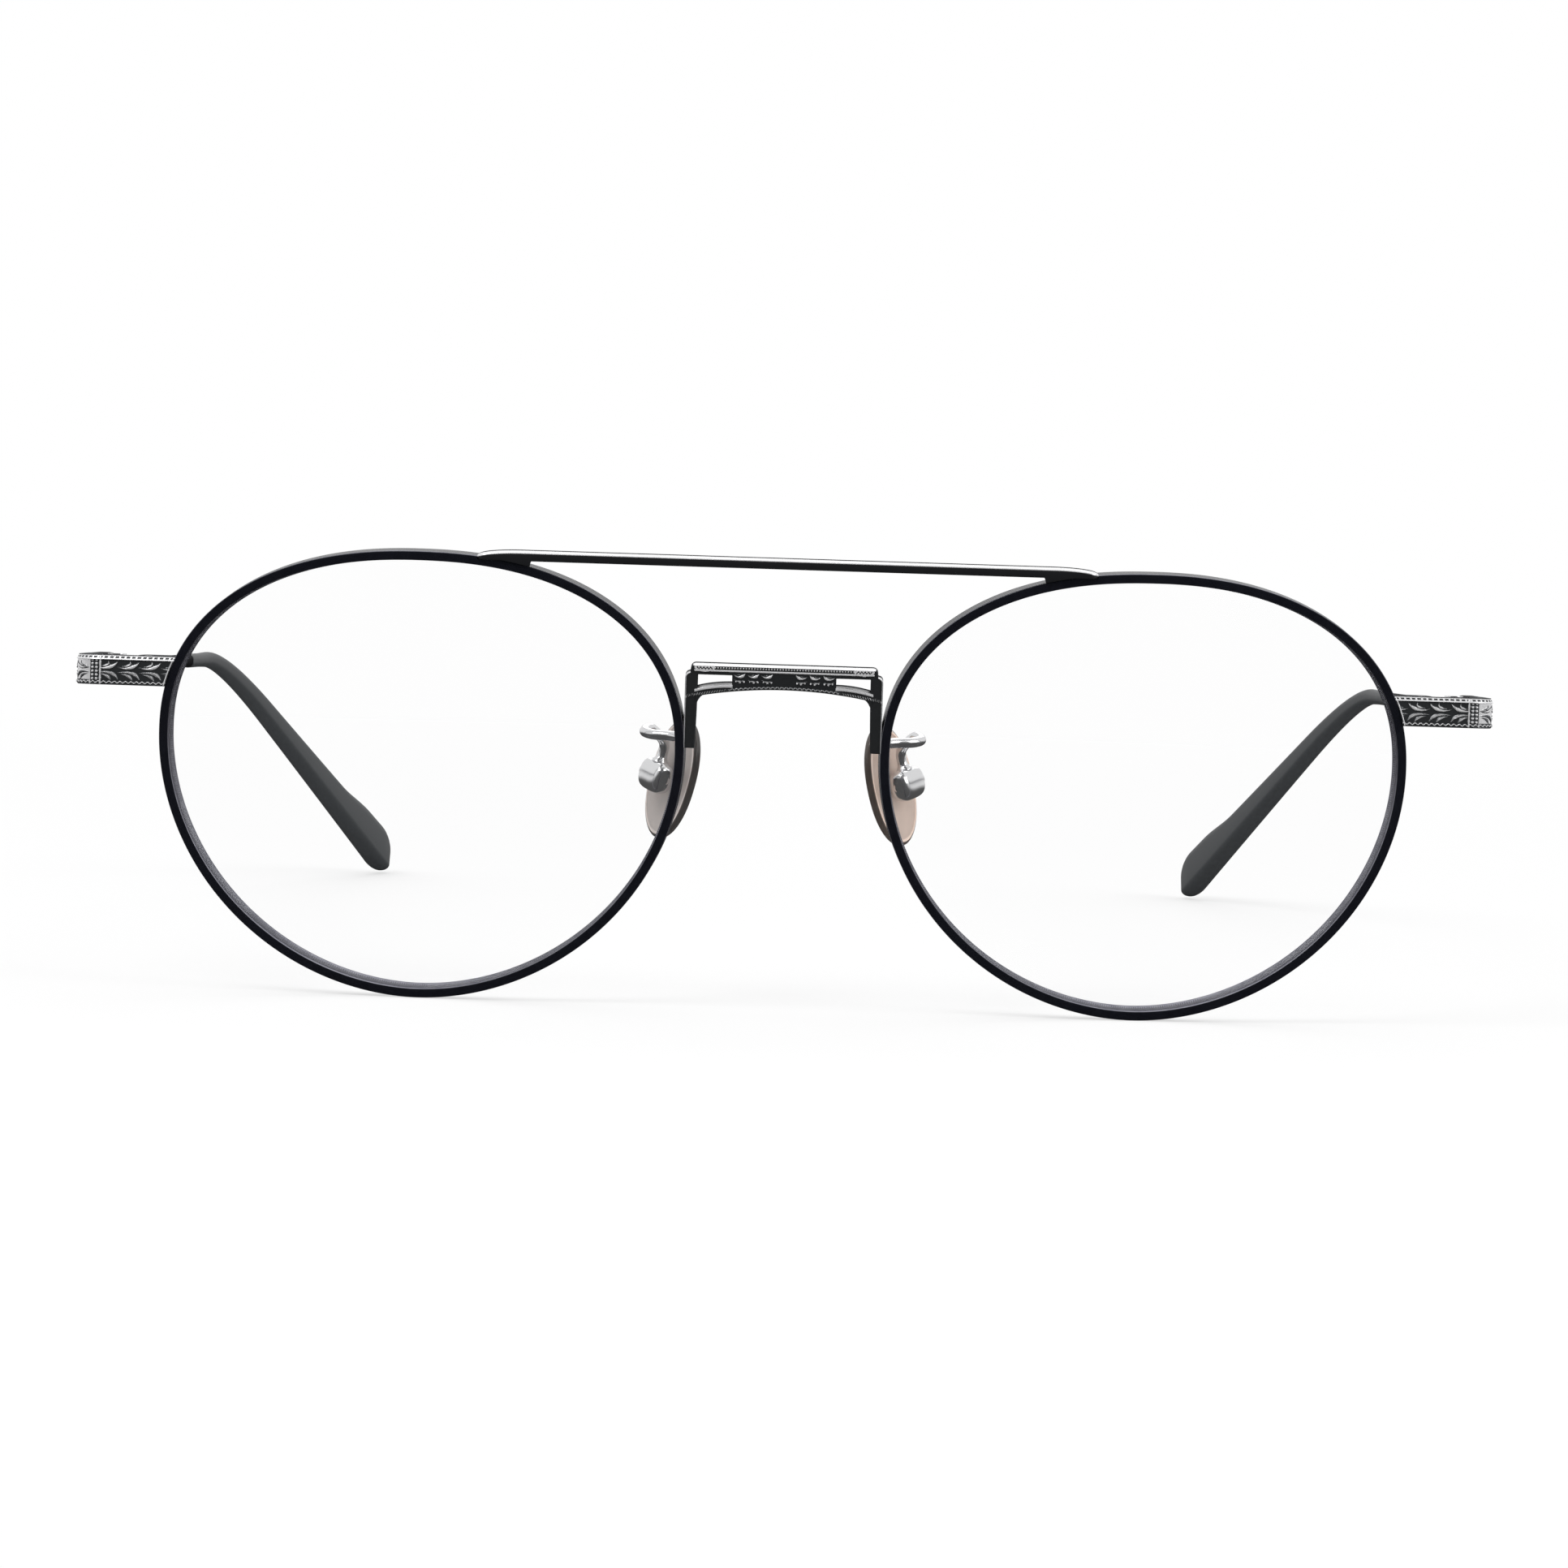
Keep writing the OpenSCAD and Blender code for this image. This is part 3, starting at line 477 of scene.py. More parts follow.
# Shapes shared by several pieces
def outline_at(t, s, out):
    """Superellipse whose upper and lower halves share the widest line, moved outwards by out along its normal:
    u = a sign(cos) |cos|^(2/n) and v = widest + b sign(sin) |sin|^(2/n). Returns u, v and the base curve's depth."""
    low = np.sin(t) < 0
    n = np.where(low, LOW_POWER, TOP_POWER)
    a, b = s.lens_w / 2, s.lens_h / 2 + np.where(low, s.widest_up, -s.widest_up)
    c, w = np.cos(t), np.sin(t)
    u, v = a * power(c, 2 / n), s.widest_up + b * power(w, 2 / n)
    gu, gv = power(c, 2 - 2 / n) / a, power(w, 2 - 2 / n) / b
    length = np.hypot(gu, gv)
    return u + out * gu / length, v + out * gv / length, s.base_r - np.sqrt(s.base_r ** 2 - u ** 2 - v ** 2)


def even_turns(s, count):
    """Angles of the outline at equal steps along its length, and that length."""
    t = np.linspace(0, 2 * np.pi, 4001)
    u, v, _ = outline_at(t, s, 0)
    run = np.concatenate([[0], np.cumsum(np.hypot(np.diff(u), np.diff(v)))])
    return np.interp(np.arange(count) * run[-1] / count, run, t), run[-1]


def wall_height(x, s):
    """Height of a rim's outer wall over the front's x, on the upper side, for the bar's feet."""
    u, v, d = outline_at(np.linspace(0.02, np.pi - 0.02, 1500), s, s.rim_out)
    gx = (s.lens_w + s.nose_gap) / 2 + u * np.cos(s.wrap) - d * np.sin(s.wrap)
    order = np.argsort(gx)
    return np.interp(x, gx[order], v[order])


def wall_x(world, s):
    """The x of a rim's outer wall on the outer side, just inside it, at the height and depth of points."""
    own = (world - front_origin(s)) @ rotation("x", s.front_tilt)
    u, v, _ = outline_at(np.linspace(-0.5, np.pi / 2 - 0.02, 800), s, s.rim_out)
    at = np.interp(own[..., 2], v, u)
    return (s.lens_w + s.nose_gap) / 2 + (at - own[..., 1] * np.sin(s.wrap)) / np.cos(s.wrap) - 0.02


def rounded_section(w, h, r, per_corner=5):
    """Offsets along two axes of a rectangle with quarter-circle corners, counter-clockwise from the lower right.
    w, h and r may be arrays over the stations."""
    a = np.radians(np.concatenate([np.linspace(k * 90 - 90, k * 90, per_corner) for k in range(4)]))
    w, h, r = (np.asarray(q, float).reshape(-1, 1) for q in (w, h, r))
    return (np.repeat([1, 1, -1, -1], per_corner) * (w / 2 - r) + r * np.cos(a),
            np.repeat([-1, 1, 1, -1], per_corner) * (h / 2 - r) + r * np.sin(a))


def smooth_step(x):
    """Rises smoothly from 0 to 1: 3x^2 - 2x^3."""
    x = np.clip(x, 0, 1)
    return x * x * (3 - 2 * x)


def dome(past, r, least=0.0):
    """Height of a unit quarter circle, past its start by a distance of r at most: sqrt(1 - (past / r)^2)."""
    return np.sqrt(np.clip(1 - np.clip(past / r, 0, 1) ** 2, least, 1))


def rounding(past, r):
    """How far a quarter circle of radius r has fallen at a distance past its start."""
    return r * (1 - dome(past, r))


def ridge(distance, half):
    """Rounded ridge: the square root of 1 - (distance / half)^2, level 0 outside."""
    return np.sqrt(np.clip(1 - (distance / half) ** 2, 0, 1))


def stroke(u, v, path, width, height, thick=0.5):
    """Raised stroke along a path of points: height times the square root of 1 - (distance / half width)^2,
    where the width tapers to both ends and is fullest at the share thick of the path."""
    result = np.zeros_like(u)
    path = np.asarray(path, float)
    run = np.concatenate([[0], np.cumsum(np.hypot(*np.diff(path, axis=0).T))])
    box = ((u > path[:, 0].min() - width) & (u < path[:, 0].max() + width)
           & (v > path[:, 1].min() - width) & (v < path[:, 1].max() + width))
    if box.any():
        f = np.linspace(0, 1, 30)
        px, py = (np.interp(f * run[-1], run, path[:, k]) for k in (0, 1))
        full = np.interp(f, [0, thick, 1], [0.22, 1.0, 0.3])
        d = np.hypot(u[box][:, None] - px, v[box][:, None] - py) / (width / 2 * full * full ** 0.3)
        result[box] = (height * ridge(d, 1) * full ** 0.3).max(axis=1)
    return result


# Pieces
class EYEWEAR_OT_rims(bpy.types.Operator):
    """Rims: a lipped profile with rounded edges carried along the lens outline, with grains on its sides"""
    bl_idname = "eyewear.rims"
    bl_label = "Rims"

    def execute(self, context):
        s = sizes()
        back, r = s.rim_depth / 2, s.rim_bevel
        wall, side, stations = 0.36, 0.86, 2880

        def corner(out, depth, first, worn):
            """Four points of a quarter circle about a point, from the angle first on."""
            a = np.radians(first + np.arange(4) * 30)
            return points_of(out + r * np.cos(a), depth + r * np.sin(a), worn, 0)

        # Height above the lens edge, depth, worn value and share of the grains
        rows = np.concatenate([
            [[-s.front_lip + r + 0.15, -back, 0, 0], [0.12, -back, 0, 0], [s.rim_out - r - 0.25, -back, 0, 0]],
            corner(s.rim_out - r, -back + r, -90, [0, 0, 1, 1]),
            points_of(s.rim_out, np.linspace(r + 0.12 - back, back - r - 0.12, 5), wall,
                      [1, 1, 0, 1, 1]),
            corner(s.rim_out - r, back - r, 0, [1, 1, 1, 1]),
            [[0.1, back, wall, 1]],
            corner(-s.rear_lip + r, back - r, 90, [1, 1, 1, 1]),
            [[-s.rear_lip, 0.47, side, 1], [0.02, 0, wall, 0], [-s.front_lip, -0.47, side, 1]],
            corner(-s.front_lip + r, -back + r, 180, [1, 1, 0, 0])])
        out, depth, worn, grain = rows.T
        t, length = even_turns(s, stations)
        beat = np.cos(np.arange(stations) / stations * round(length / s.milgrain) * 2 * np.pi)
        dip = grain * (0.5 - 0.5 * beat[:, None])
        lift = out - 0.02 * dip * np.sign(out)
        u0, v0, bow = (q[:, None] for q in outline_at(t, s, 0))
        u1, v1, _ = (q[:, None] for q in outline_at(t, s, 1))
        rings = at_lens(points_of(u0 + (u1 - u0) * lift, bow + depth, v0 + (v1 - v0) * lift), s)
        shell = Shell()
        shell.tube(rings[:, ::-1], (worn - 0.22 * dip)[:, ::-1], wrap=True)
        pair("rim_{}_swept", "rim_{}", shell, "lacquer")
        return {"FINISHED"}


class EYEWEAR_OT_lenses(bpy.types.Operator):
    """Lenses: two curved faces joined by a pointed bevel that sits in the rim's groove"""
    bl_idname = "eyewear.lenses"
    bl_label = "Lenses"

    def execute(self, context):
        s = sizes()
        t, _ = even_turns(s, 360)
        half, inset = s.lens_t / 2, s.rear_lip + 0.16
        u, v, _ = outline_at(t, s, -inset)
        k = np.linspace(0.02, 0.985, 26)[:, None]
        x, z = u * k, v * k
        face = points_of(x, s.base_r - np.sqrt(s.base_r ** 2 - x ** 2 - z ** 2) + half, z)
        bevel = []
        for out, d in ((-inset, half), (-inset, 0.45), (-0.06, 0.0), (-inset, -0.45), (-inset, -half)):
            x, z, depth = outline_at(t, s, out)
            bevel.append(points_of(x, depth + d, z))
        shell = Shell()
        shell.tube(at_lens(np.concatenate([face, bevel, face[::-1] - [0, s.lens_t, 0]]), s))
        pair("lens_{}_polished", "lens_{}", shell, "lens")
        return {"FINISHED"}


class EYEWEAR_OT_top_bar(bpy.types.Operator):
    """Top bar: a rounded rectangle carried across both rims, whose lower edge follows the rims under its feet"""
    bl_idname = "eyewear.top_bar"
    bl_label = "Top bar"

    def execute(self, context):
        s = sizes()
        top = s.lens_h / 2 + s.rim_out + s.bar_rise
        tip_rise, tip_run, end_r = 0.55, 4.2, 0.9
        half = np.concatenate([np.linspace(0, s.bar_span - 0.4, 90), s.bar_span + np.linspace(-0.3, 0.3, 18),
                               np.linspace(s.bar_span + 0.4, s.bar_half - end_r, 50),
                               s.bar_half - end_r * (1 - np.sin(np.linspace(0, np.pi / 2, 16)))])
        x = np.concatenate([-half[::-1], half[1:]])
        a = np.abs(x)
        high = top - rounding(a - s.bar_half + tip_run, tip_run) * tip_rise / tip_run
        under, foot = top - s.bar_h, smooth_step((a - s.bar_span) / 0.25)
        low = under * (1 - foot) + np.minimum(wall_height(a, s) - 0.03, under) * foot
        low = np.minimum(low, high - 0.12)
        deep = s.bar_depth * (0.35 + 0.65 * dome(a - s.bar_half + end_r, end_r, 0.02))
        du, dv = rounded_section(deep, high - low, np.minimum(0.16, (high - low) * 0.45))
        # Two more columns on the top end the bare strip, a painted highlight of the top face, a little behind its
        # middle
        strip = np.array([0.3, 0.28]) * deep[:, None] / 2
        du = np.concatenate([du[:, :10], strip, du[:, 10:]], axis=1)
        dv = np.concatenate([dv[:, :10], dv[:, 9:10], dv[:, 9:10], dv[:, 10:]], axis=1)
        rings = points_of(x[:, None], s.bar_depth / 2 - s.bar_front + du,
                          (high + low)[:, None] / 2 + dv)
        # The front half of the top is painted bare silver: a painted highlight of the light from above
        bare = (dv > (high - low)[:, None] / 2 - 0.13) & (du < 0.29 * deep[:, None] / 2)
        shell = Shell()
        shell.tube(at_front(rings, s), bare * 1.0)
        build("top_bar_rounded", "top_bar", shell, "gunmetal")
        return {"FINISHED"}


def arch_height(u, s):
    """Height of the bridge's arched lower edge: a circle of the arch radius under its top."""
    return s.bridge_low - s.arch_r + np.sqrt(s.arch_r ** 2 - u ** 2)


def bridge_relief(u, v, s):
    """Height of the bridge's engraving over its front. Below the bare top edge come a row of dots between two
    oval cartouches with a zigzag, a thin line, three leaves and three beaded leaves on each side of the plain
    middle, and a row of scallops over the arch that turns into a rope at both ends."""
    a, d = np.abs(u), s.bridge_top - v
    h = 1.0 * (d < 0.07)
    dots = ridge(np.hypot(((a / 0.27) % 1 - 0.5) * 0.27 / 0.095, (d - 0.22) / 0.12), 1)
    h = np.maximum(h, np.where(a < 6.62, 0.8 * dots, 0))
    h = np.maximum(h, np.where(a < 8.6, ridge(d - 0.5, 0.1), 0))
    oval = np.hypot((a - 7.6) / 1.0, (d - 0.2) / 0.42) < 1
    zigzag = np.abs(d - 0.27 + 0.1 * (np.abs((a / 0.32) % 1 - 0.5) * 4 - 1)) < 0.055
    h = np.where(oval, np.where(zigzag & (np.abs(a - 7.6) < 0.75), 0.1, 1.0), h)
    for c in (1.62, 2.93, 4.24):
        w = a - c
        leaf = [[0.56, 0.86], [0.35, 0.99], [0.1, 1.05], [-0.15, 1.01], [-0.36, 0.9], [-0.5, 0.74]]
        vein = [[0.3, 0.84], [0.12, 0.88], [-0.06, 0.8]]
        small = [[0.54, 1.3], [0.35, 1.42], [0.1, 1.47], [-0.15, 1.45], [-0.42, 1.4]]
        for path, width, height, thick in ((leaf, 0.3, 1.0, 0.72), (vein, 0.1, 0.45, 0.5), (small, 0.14, 0.7, 0.5)):
            h = np.maximum(h, stroke(w, d, path, width, height, thick))
        for bead, down, r in ((-0.02, 1.56, 0.12), (-0.4, 1.52, 0.1), (0.36, 1.5, 0.07)):
            h = np.maximum(h, 0.9 * ridge(np.hypot(w - bead, d - down), r))
    e = v - arch_height(u, s)
    scallop = ridge(np.hypot(((a / 0.43) % 1 - 0.5) * 0.43, e - 0.08) - 0.17, 0.05) * (e > 0.09)
    h = np.maximum(h, np.where(a < 5.3, 0.5 * scallop, 0))
    rope = np.clip(2 * np.cos(2 * np.pi * (a / 0.24 + e / 0.4)), 0, 1) * (e > 0.08) * (e < 0.3)
    return np.maximum(h, 0.6 * rope * np.clip((a - 5.2) / 0.8, 0, 1))


def slab(shell, u, v, s, soft, bright=0):
    """Adds a slab of the bridge: a front grid raised by the engraving, or by the bright share where that is more,
    rounded towards its edges, and side walls to a plain back."""
    rows, cols = u.shape
    i, j = np.indices(u.shape)
    mid_row, mid_col = rows // 2, cols // 2
    step_v = np.hypot(u[1, mid_col] - u[0, mid_col], v[1, mid_col] - v[0, mid_col])
    step_u = np.hypot(u[mid_row, 1] - u[mid_row, 0], v[mid_row, 1] - v[mid_row, 0])
    edge = np.minimum(np.minimum(i, rows - 1 - i) * step_v, np.minimum(j, cols - 1 - j) * step_u)
    fall = rounding(soft - edge, soft)
    height = np.maximum(bridge_relief(u, v, s), bright)
    front = -s.bridge_front + s.relief + fall - s.relief * height * (fall < soft * 0.6)
    depth = s.bridge_depth - s.bridge_front
    ring = np.concatenate([np.arange(cols), cols * np.arange(1, rows) + cols - 1,
                           rows * cols - 2 - np.arange(cols - 1), cols * np.arange(rows - 2, 0, -1)])
    # Two rings in the walls end the worn edge in front of the back
    sheets = [points_of(u, y, v).reshape(-1, 3)
              for y in (front, depth - np.clip(soft - edge, 0, soft), depth - 0.87, depth - 0.85)]
    points = np.concatenate([*sheets[:2], sheets[2][ring], sheets[3][ring]])
    first = 2 * rows * cols + np.arange(len(ring))
    loops = (ring, first, first + len(ring), ring + rows * cols)
    walls = [points_of(a, b, np.roll(b, -1), np.roll(a, -1)) for a, b in zip(loops, loops[1:])]
    faces = grid_faces(rows, cols, wrap_cols=False)
    faces = np.concatenate([faces, faces[:, ::-1] + rows * cols, *walls])
    mirrored = u[0, -1] < u[0, 0]
    on_top = np.where(sheets[0][ring, 2] > s.bridge_top - 0.1, 1.0, 0.25)
    shell.add(at_front(points, s), faces[:, ::-1] if mirrored else faces,
              np.concatenate([np.clip(height, 0, 1).reshape(-1), np.zeros(rows * cols), on_top, on_top * 0]))


class EYEWEAR_OT_bridge(bpy.types.Operator):
    """Bridge: slabs with an engraved front: a rail, a plate, two straps and two legs"""
    bl_idname = "eyewear.bridge"
    bl_label = "Bridge"

    def execute(self, context):
        s = sizes()
        shell = Shell()
        leg_out = s.nose_gap / 2 - s.rim_out + 0.1
        leg_in = leg_out - s.leg_w
        shoulder, strap_r, top = 0.5, 13, s.bridge_top
        rail_half, rail_low, leg_top = leg_out - shoulder, top - 0.92, top - 0.75
        plate = leg_in - s.window_w - 0.15

        def grid(rows, cols, start=0):
            """Shares from 0 to 1 down the rows and from start to 1 along the columns."""
            return np.meshgrid(np.linspace(0, 1, rows), np.linspace(start, 1, cols), indexing="ij")

        f, g = grid(28, 670, -1)
        u = g * rail_half
        high = top - rounding(np.abs(u) - rail_half + shoulder, shoulder)
        slab(shell, u, rail_low + (high - rail_low) * f, s, 0.06)
        f, g = grid(45, 316, -1)
        u = g * (plate + 0.02)
        arch = arch_height(u, s)
        slab(shell, u, arch + (rail_low + 0.08 - arch) * f, s, 0.05)
        for side in (-1, 1):
            f, g = grid(34, 110)
            x = plate - 0.05 + g * (leg_in + 0.35 - plate)
            strap = s.bridge_low + 0.4 - strap_r + np.sqrt(strap_r ** 2 - (x - plate) ** 2)
            low = arch_height(x, s) - 0.6 * np.clip((x - leg_in + 0.6) / 0.6, 0, 1) ** 2
            v = low + (strap - low) * f
            bar = ridge((strap - v - 0.14) / (0.17 + 0.05 * np.exp(-(x - plate) / 0.3)), 1) * (x < leg_in + 0.3)
            slab(shell, side * x, v, s, 0.05, bright=bar)
            f, g = grid(90, 16)
            v = s.leg_foot + f * (leg_top - s.leg_foot)
            inner = leg_in + 0.15 * (1 - f) ** 2
            outer = leg_out - rounding(v - leg_top + shoulder, shoulder)
            slab(shell, side * (inner + (outer - inner) * g), v, s, 0.1, bright=0.9 * (g > 0.9))
        build("bridge_engraved", "bridge", shell, "engraved")
        return {"FINISHED"}


def leaves(w, g, first, pitch, count):
    """Height of two rows of leaves, an upper one of plain crescents with a curl and a lower one of hatched pairs
    of strokes. w is the distance along the row and g the distance below the face's top."""
    crescent = [[0, 1.2], [0.3, 1.28], [0.75, 1.32], [1.2, 1.25], [1.6, 1.08], [1.88, 0.9], [2.06, 0.68]]
    curl = [[0.45, 1.12], [0.8, 1.09], [1.08, 1.0], [1.22, 0.86], [1.18, 0.66]]
    upper = [[0.05, 1.74], [0.5, 1.69], [1.0, 1.7], [1.5, 1.8], [1.85, 2.02], [2.08, 2.35]]
    lower = [[0.3, 1.86], [0.75, 1.95], [1.15, 2.12], [1.4, 2.42]]
    hatch = 0.62 + 0.38 * ((w / 0.12 + g / 0.16) % 1 < 0.55)
    h = np.zeros_like(w)
    for q in first + pitch * np.arange(count):
        for path, width, height, thick, share in (
                (crescent, 0.36, 1.0, 0.66, 1), (curl, 0.24, 0.85, 0.6, 1), (upper, 0.36, 0.75, 0.72, hatch),
                (lower, 0.32, 0.7, 0.7, hatch)):
            h = np.maximum(h, stroke(w - q, g, path, width, height, thick) * share)
    return h


def endpiece_relief(run, h, from_rim, s):
    """Height of an endpiece's engraving. run is the distance from the corner's start, negative towards the rim,
    h the height over the middle line and from_rim the distance from the rim. Above the leaves runs a bare strip
    with slanted dashes, below them a wave, on the corner's start two columns of beads."""
    g, w = s.end_h / 2 - h, -run
    dash = ((w / s.rope_pitch + 0.6 * g) % 1 < 0.6) & (g > 0.17) & (g < 0.34)
    z = np.where((g < 0.46) & ~dash, 1.0, 0.0)
    wave = s.end_h - 0.27 + 0.075 * np.sin(2 * np.pi * w / s.rope_pitch)
    z = np.maximum(z, ridge(g - wave, 0.065))
    plain = (g > 0.5) & (g < s.end_h - 0.4)
    front = leaves(w, g, -0.35, s.leaf_pitch, 4) * (w > 0.12) * (from_rim > 0.2)
    side = leaves(run - 1.0, g, 0.0, s.leaf_pitch, 5) * (run > 1.05)
    z = np.maximum(z, (front + side) * plain)
    z = np.maximum(z, ridge(from_rim - 0.12, 0.08) * (w > 0))
    z = np.maximum(z, ridge(w - 0.04, 0.1 + 0.02 * np.sin(9 * g)))
    beads = ridge(np.hypot((run - 0.12) % 0.42 - 0.21, (g % 0.36 - 0.18) * 1.15), 0.16)
    z = np.where((run > 0.1) & (run < 0.96) & plain, np.maximum(z, 0.9 * beads), z)
    return np.maximum(z, ridge(run - 1.0, 0.06) * (g > 0.3))


class EYEWEAR_OT_endpieces(bpy.types.Operator):
    """Endpieces: a bevelled bar carried from the rim round the corner to the hinge, with an engraved outer face"""
    bl_idname = "eyewear.endpieces"
    bl_label = "Endpieces"

    def execute(self, context):
        s = sizes()
        mid_r = s.end_corner - s.end_t / 2
        corner_x, corner_y = s.hinge_in + s.end_t / 2 - mid_r, s.end_corner - s.end_len
        half_h, half_t, e = s.end_h / 2, s.end_t / 2, 0.2
        front_len, arc_len = 7.4, s.end_corner * np.pi / 2
        run = np.concatenate([np.linspace(-front_len, 0, 210), np.linspace(0, arc_len, 112)[1:],
                              arc_len + np.linspace(0, -corner_y - 0.05, 214)[1:]])
        # The section: the engraved face, then the top, the back and the bottom
        face_h = np.linspace(-half_h + e * 0.4, half_h - e * 0.4, 74)
        across = [half_t - e, 0.2, -0.2, e - half_t]
        out = np.concatenate([half_t - 0.5 * rounding(np.abs(face_h) - half_h + e, e), across, [-half_t] * 3,
                              across[::-1]])
        high = np.concatenate([face_h, [half_h] * 4, [half_h - e, 0.4, -half_h + e], [-half_h] * 4])
        on_face = np.arange(len(high)) < len(face_h)
        run, h = np.meshgrid(run, high, indexing="ij")
        start = corner_x + joint_place("temple_left_fold")[0]
        level = np.linspace(-half_h - 0.2, half_h + 0.2, 40)
        face = np.array([corner_x, corner_y - mid_r - half_t, 0]) + level[:, None] * [0, 0, 1]
        wall = np.interp(high, level, wall_x(at_hinge(face, s), s))
        share = np.clip(-run / front_len, 0, 1)
        true_run = np.where(run < 0, -share * (start - wall), run)
        relief = endpiece_relief(true_run, h, start + true_run - wall, s)
        near_edge = np.clip((np.abs(h) - half_h + 0.1) / 0.08, 0, 1)
        chamfer = 0.26 * np.clip((high - half_h + 0.44) / 0.44, 0, 1)
        radius = mid_r + out - (s.relief * (1 - relief) * (1 - near_edge) + chamfer) * on_face
        turn = np.clip(run / arc_len, 0, 1) * np.pi / 2
        world = at_hinge(points_of(corner_x + np.minimum(run, 0) + radius * np.sin(turn),
                                   corner_y + np.clip(run - arc_len, 0, None) - radius * np.cos(turn), h), s)
        to_rim = start + (wall_x(world, s) - start) * share
        world[..., 0] = np.where(run < 0, to_rim, world[..., 0])
        # On the corner and the side the ground is painted bare and bright as a painted highlight, with painted shade
        # as dark outlines round the leaves
        painted_glint_and_shade = np.where((relief > 0.02) & (relief < 0.78), 0.0, 0.95)
        shown = np.where((true_run > 1.05) & (np.abs(h) < half_h - 0.46), painted_glint_and_shade, np.clip(relief, 0, 1))
        shell = Shell()
        shell.tube(world, np.where(on_face, shown * (1 - near_edge) + 0.15 * near_edge, 0.12))
        pair("endpiece_{}_engraved", "endpiece_{}", shell, "engraved")
        return {"FINISHED"}


def temple_ring(stations, t, h, r, s, per_corner=6):
    """Rounded rectangles carried along the temple's middle line: straight, then an arc of the bend radius in the
    leaning plane, then straight along its last direction, all turned inwards by the toe from its start on."""
    ahead, bend_dir = np.array([0, 1, 0]), np.array([-np.sin(s.bend_lean), 0, -np.cos(s.bend_lean)])
    a = np.clip((stations - s.temple_straight) / s.bend_r, 0, s.bend)[:, None]
    along = np.cos(a) * ahead + np.sin(a) * bend_dir
    rest = np.clip(stations - s.temple_straight - s.bend_r * s.bend, 0, None)[:, None]
    centre = ([s.hinge_in + s.end_t / 2, 0, 0] + np.minimum(stations, s.temple_straight)[:, None] * ahead
              + s.bend_r * (np.sin(a) * ahead + (1 - np.cos(a)) * bend_dir) + rest * along)
    n = unit([1, 0, 0] - along[:, :1] * along)
    v = np.cross(along, n)
    du, dv = rounded_section(t, h, r, per_corner)
    rings = centre[:, None] + du[..., None] * n[:, None] + dv[..., None] * v[:, None]
    pivot = np.array([s.hinge_in + s.end_t / 2, s.toe_at, 0])
    turned = (rings - pivot) @ rotation("z", s.temple_toe).T + pivot
    return np.where((stations > s.toe_at)[:, None, None], turned, rings)


class EYEWEAR_OT_temples(bpy.types.Operator):
    """Temples: a rounded bar that slims down towards the ear"""
    bl_idname = "eyewear.temples"
    bl_label = "Temples"

    def execute(self, context):
        s = sizes()
        into = s.sleeve_at + 0.01
        stations = np.concatenate([[0.1, 0.2, 0.4], np.linspace(1, 8, 12), np.linspace(8.5, 30, 44),
                                   np.linspace(31, s.sleeve_at, 30), np.linspace(into, 128, 60)])
        keys = [0, s.toe_at, 19, s.slim_at, s.sleeve_at, into, 130]
        t = np.interp(stations, keys, [s.end_t] * 2 + [1.42] + [s.slim_t] * 2 + [s.slim_t - s.core_in] * 2)
        h = np.interp(stations, keys, [s.end_h] * 2 + [2.0] + [s.slim_h] * 2 + [s.slim_h - s.core_in] * 2)
        soft = np.interp(stations, [0.1, 0.4], [0.12, 0])
        round_share = np.interp(stations, [s.toe_at, s.slim_at], [0.22, 0.42])
        rings = temple_ring(stations, t - soft, h - soft, np.minimum(t, h) * round_share, s)
        shell = Shell()
        shell.tube(at_hinge(rings, s)[:, ::-1], 0.06)
        pair("temple_{}_rounded", "temple_{}", shell, "temple", "temple_{}")
        return {"FINISHED"}


class EYEWEAR_OT_tips(bpy.types.Operator):
    """Temple tips: a hollow sleeve that grows towards a rounded paddle end, fuller on its upper side"""
    bl_idname = "eyewear.tips"
    bl_label = "Temple tips"

    def execute(self, context):
        s = sizes()
        mouth, growth, blunt, skin_t, per_corner = s.sleeve_at + 0.02, s.temple_straight - 6, 4.2, 0.1, 8
        end = s.temple_len - blunt - 0.12
        f = np.sin(np.linspace(0, np.pi / 2, 18))
        outer = np.concatenate([[mouth, s.sleeve_at + 0.15], np.linspace(s.sleeve_at + 0.6, end, 110),
                                end + blunt * f[1:]])
        share = np.clip((outer - growth) / (end - growth), 0, 1) ** 1.25
        k = dome(outer - end, blunt, 0.05 ** 2)
        lip = np.interp(outer, [mouth, s.sleeve_at + 0.15], [0.08, 0])
        t, h = ((slim + skin_t + (full - slim - skin_t) * share) * k - lip
                for slim, full in ((s.slim_t, s.tip_t), (s.slim_h, s.tip_h)))
        room = s.core_in - 0.06
        hole = temple_ring(np.linspace(127.8, mouth, 60), s.slim_t - room, s.slim_h - room, 0.2, s, per_corner)
        skin = temple_ring(outer, t, h, np.minimum(t, h) * 0.46, s, per_corner)
        # The first and the last corner are the section's upper side
        n = per_corner
        upper = unit(skin[:, :1] + skin[:, 4 * n - 1:4 * n] - skin[:, 2 * n - 1:2 * n] - skin[:, 2 * n:2 * n + 1])
        lift = np.clip(((skin - skin.mean(axis=1)[:, None]) * upper).sum(axis=-1) / (h / 2)[:, None], 0, 1)
        swell = s.tip_swell * smooth_step((outer - end + 13) / 9) * k
        skin = skin + upper * (lift * swell[:, None])[..., None]
        shell = Shell()
        shell.tube(at_hinge(np.concatenate([hole, skin]), s)[:, ::-1])
        pair("tip_{}_sleeve", "tip_{}", shell, "tip", "temple_{}")
        return {"FINISHED"}


